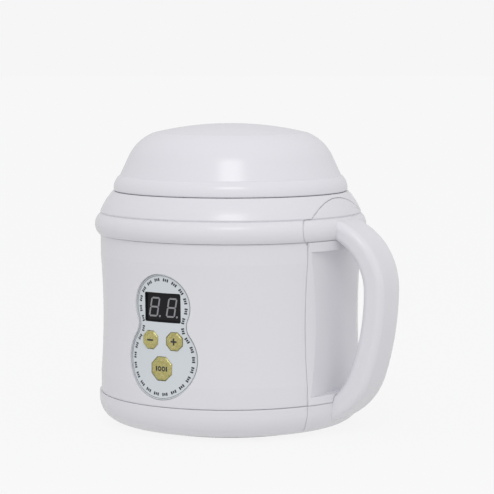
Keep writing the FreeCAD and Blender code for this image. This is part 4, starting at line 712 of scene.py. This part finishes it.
WINDOW_WIDE, WINDOW_TALL, BEZEL_WALL = 0.0265, 0.0185, 0.0006
BEZEL_FRONT, BEZEL_BACK = 0.0002, 0.0001
walls = []
for across, up, width, height in (
        (0.0, (WINDOW_TALL - BEZEL_WALL) / 2, WINDOW_WIDE, BEZEL_WALL),
        (0.0, (BEZEL_WALL - WINDOW_TALL) / 2, WINDOW_WIDE, BEZEL_WALL),
        ((BEZEL_WALL - WINDOW_WIDE) / 2, 0.0, BEZEL_WALL, WINDOW_TALL - 2 * BEZEL_WALL),
        ((WINDOW_WIDE - BEZEL_WALL) / 2, 0.0, BEZEL_WALL, WINDOW_TALL - 2 * BEZEL_WALL)):
    bpy.ops.object.select_all(action="DESELECT")
    bpy.ops.mesh.primitive_cube_add(size=1.0, scale=(width, 1.0, height))
    wall = bpy.context.object
    bpy.ops.object.transform_apply(location=True, rotation=True, scale=True)
    bpy.ops.object.mode_set(mode="EDIT")
    bpy.ops.mesh.select_all(action="SELECT")
    bpy.ops.mesh.subdivide(number_cuts=9)
    bpy.ops.object.mode_set(mode="OBJECT")
    for vertex in wall.data.vertices:
        place = vertex.co + Vector((across, 0.0, up + display_height))
        front = fascia_face(place.x, place.z) + BEZEL_FRONT
        back = display_face + BEZEL_BACK
        place.y = back + (front - back) * (0.5 - vertex.co.y)
        vertex.co = place
    walls.append(wall)
keep_piece(joined(walls), "window_bezel", display_black, "housing")

# ---------------------------------------------------------------- buttons
# Three octagonal caps in metallic gold ABS with coarse flake, each with its sign printed in black. A
# flange behind the fascia stops each cap, and its stem meets a switch on the control board.


def flake_paint(name, colour, dark):
    """Gold plastic full of metal flake that glints unevenly."""
    material, tree, shader = new_material(name)
    where = object_place(tree)
    flakes = put(tree, "ShaderNodeTexVoronoi")
    flakes.inputs["Scale"].default_value = 1500.0
    tree.links.new(where, flakes.inputs["Vector"])
    cloud = noise_of(tree, where, 420.0, 3.0, 0.6)
    tone = put(tree, "ShaderNodeValToRGB")
    tone.color_ramp.elements[0].position = 0.3
    tone.color_ramp.elements[0].color = dark + (1.0,)
    tone.color_ramp.elements[1].position = 0.72
    tone.color_ramp.elements[1].color = colour + (1.0,)
    grey = put(tree, "ShaderNodeSeparateXYZ")
    tree.links.new(flakes.outputs["Color"], grey.inputs[0])
    share = weighed(tree, grey.outputs[0], 0.4, cloud, 0.6)
    tree.links.new(share, tone.inputs[0])
    tree.links.new(tone.outputs[0], shader.inputs["Base Color"])
    tree.links.new(math_node(tree, "MULTIPLY", grey.outputs[1], 0.75), shader.inputs["Metallic"])
    tree.links.new(scaled(tree, grey.outputs[2], 0.25, 0.22), shader.inputs["Roughness"])
    rim = place_group(tree, edge_wear, Radius=0.0004, Amount=0.3)
    bump = put(tree, "ShaderNodeBump")
    bump.inputs["Strength"].default_value = 0.5
    bump.inputs["Distance"].default_value = 0.00003
    tree.links.new(share, bump.inputs["Height"])
    tree.links.new(rim.outputs["Rounded"], bump.inputs["Normal"])
    tree.links.new(bump.outputs[0], shader.inputs["Normal"])
    return material


key_gold = flake_paint("key_gold", (0.60, 0.55, 0.23), (0.43, 0.38, 0.13))
SIGN_THICK = 0.00008
SIGN_LONG, SIGN_WIDE = 0.0044, 0.0011
ARM_UP, ARM_LONG = 0.00135, 0.0018
RING_RADIUS, RING_STROKE, RING_TALL, RING_OUT = 0.00095, 0.00036, 1.25, 0.00145
MODE_BAR_OUT, MODE_BAR_WIDE, MODE_BAR_TALL = 0.0037, 0.0010, 0.0031


def print_on_key(node, body, name, strokes, rings=()):
    """Prints bars on a key's face, each (across, up, width, height), and rings at places across it."""
    low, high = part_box(node)
    middle = (low + high) / 2
    marks = []
    for across, up, width, height in strokes:
        mark = bar(width, height, SIGN_THICK, min(width, height) * 0.2)
        mark.data.transform(Matrix.Translation((middle.x + across, low.y, middle.z + up)))
        marks.append(mark)
    for across in rings:
        bpy.ops.object.select_all(action="DESELECT")
        bpy.ops.mesh.primitive_torus_add(major_segments=32, minor_segments=8, major_radius=RING_RADIUS,
                                         minor_radius=RING_STROKE, rotation=(math.pi / 2, 0.0, 0.0))
        mark = bpy.context.object
        bpy.ops.object.transform_apply(location=True, rotation=True, scale=True)
        mark.data.transform(Matrix.Translation((middle.x + across, low.y, middle.z))
                            @ Matrix.Diagonal((1.0, SIGN_THICK / RING_STROKE / 2, RING_TALL, 1.0)))
        marks.append(mark)
    keep_piece(joined(marks), name, print_ink, body)


for node in ("minus_button", "plus_button", "mode_button"):
    dress(node, key_gold)
level_bar = (0.0, 0.0, SIGN_LONG, SIGN_WIDE)
arms = [(0.0, way * ARM_UP, SIGN_WIDE, ARM_LONG) for way in (1, -1)]
mode_bars = [(way * MODE_BAR_OUT, 0.0, MODE_BAR_WIDE, MODE_BAR_TALL) for way in (-1, 1)]
print_on_key("minus_button", "minus", "minus_sign", [level_bar])
print_on_key("plus_button", "plus", "plus_sign", [level_bar] + arms)
print_on_key("mode_button", "mode", "mode_sign", mode_bars, rings=(-RING_OUT, RING_OUT))
dress("tact_switches", moulded_plastic("switch_black", (0.02, 0.02, 0.02), 0.4))
dress("control_board", circuit_board("control_board_mask", (0.012, 0.09, 0.035), (0.03, 0.17, 0.07),
                                     upright=True))

# ---------------------------------------------------------------- pot
# A deep drawn stainless pot with a flat rim, polished by spinning. Its plug lid is frosted
# polypropylene with a waisted knob and a silicone seal.
dress("inner_pot", metal("spun_steel", (0.66, 0.65, 0.64), 0.30, spun=True, scale=420.0, depth=0.02))
dress("pot_lid", moulded_plastic("pot_lid_frost", (0.70, 0.72, 0.74), 0.42, grain=700.0, depth=0.05))
dress("pot_lid_seal", silicone)

# ---------------------------------------------------------------- outer lid
# A domed white ABS lid with a rolled rim, moulded in one piece. Its lining is a duller white moulding
# screwed to three bosses inside, with a silicone seal under it.
LID_WHITE = (0.82, 0.813, 0.855)
dress("lid_shell", moulded_plastic("lid_white", LID_WHITE, 0.24, edge=0.0005))
dress("lid_liner", moulded_plastic("liner_white", (0.74, 0.74, 0.75), 0.34, grain=500.0, depth=0.03))
dress("lid_seal", silicone)
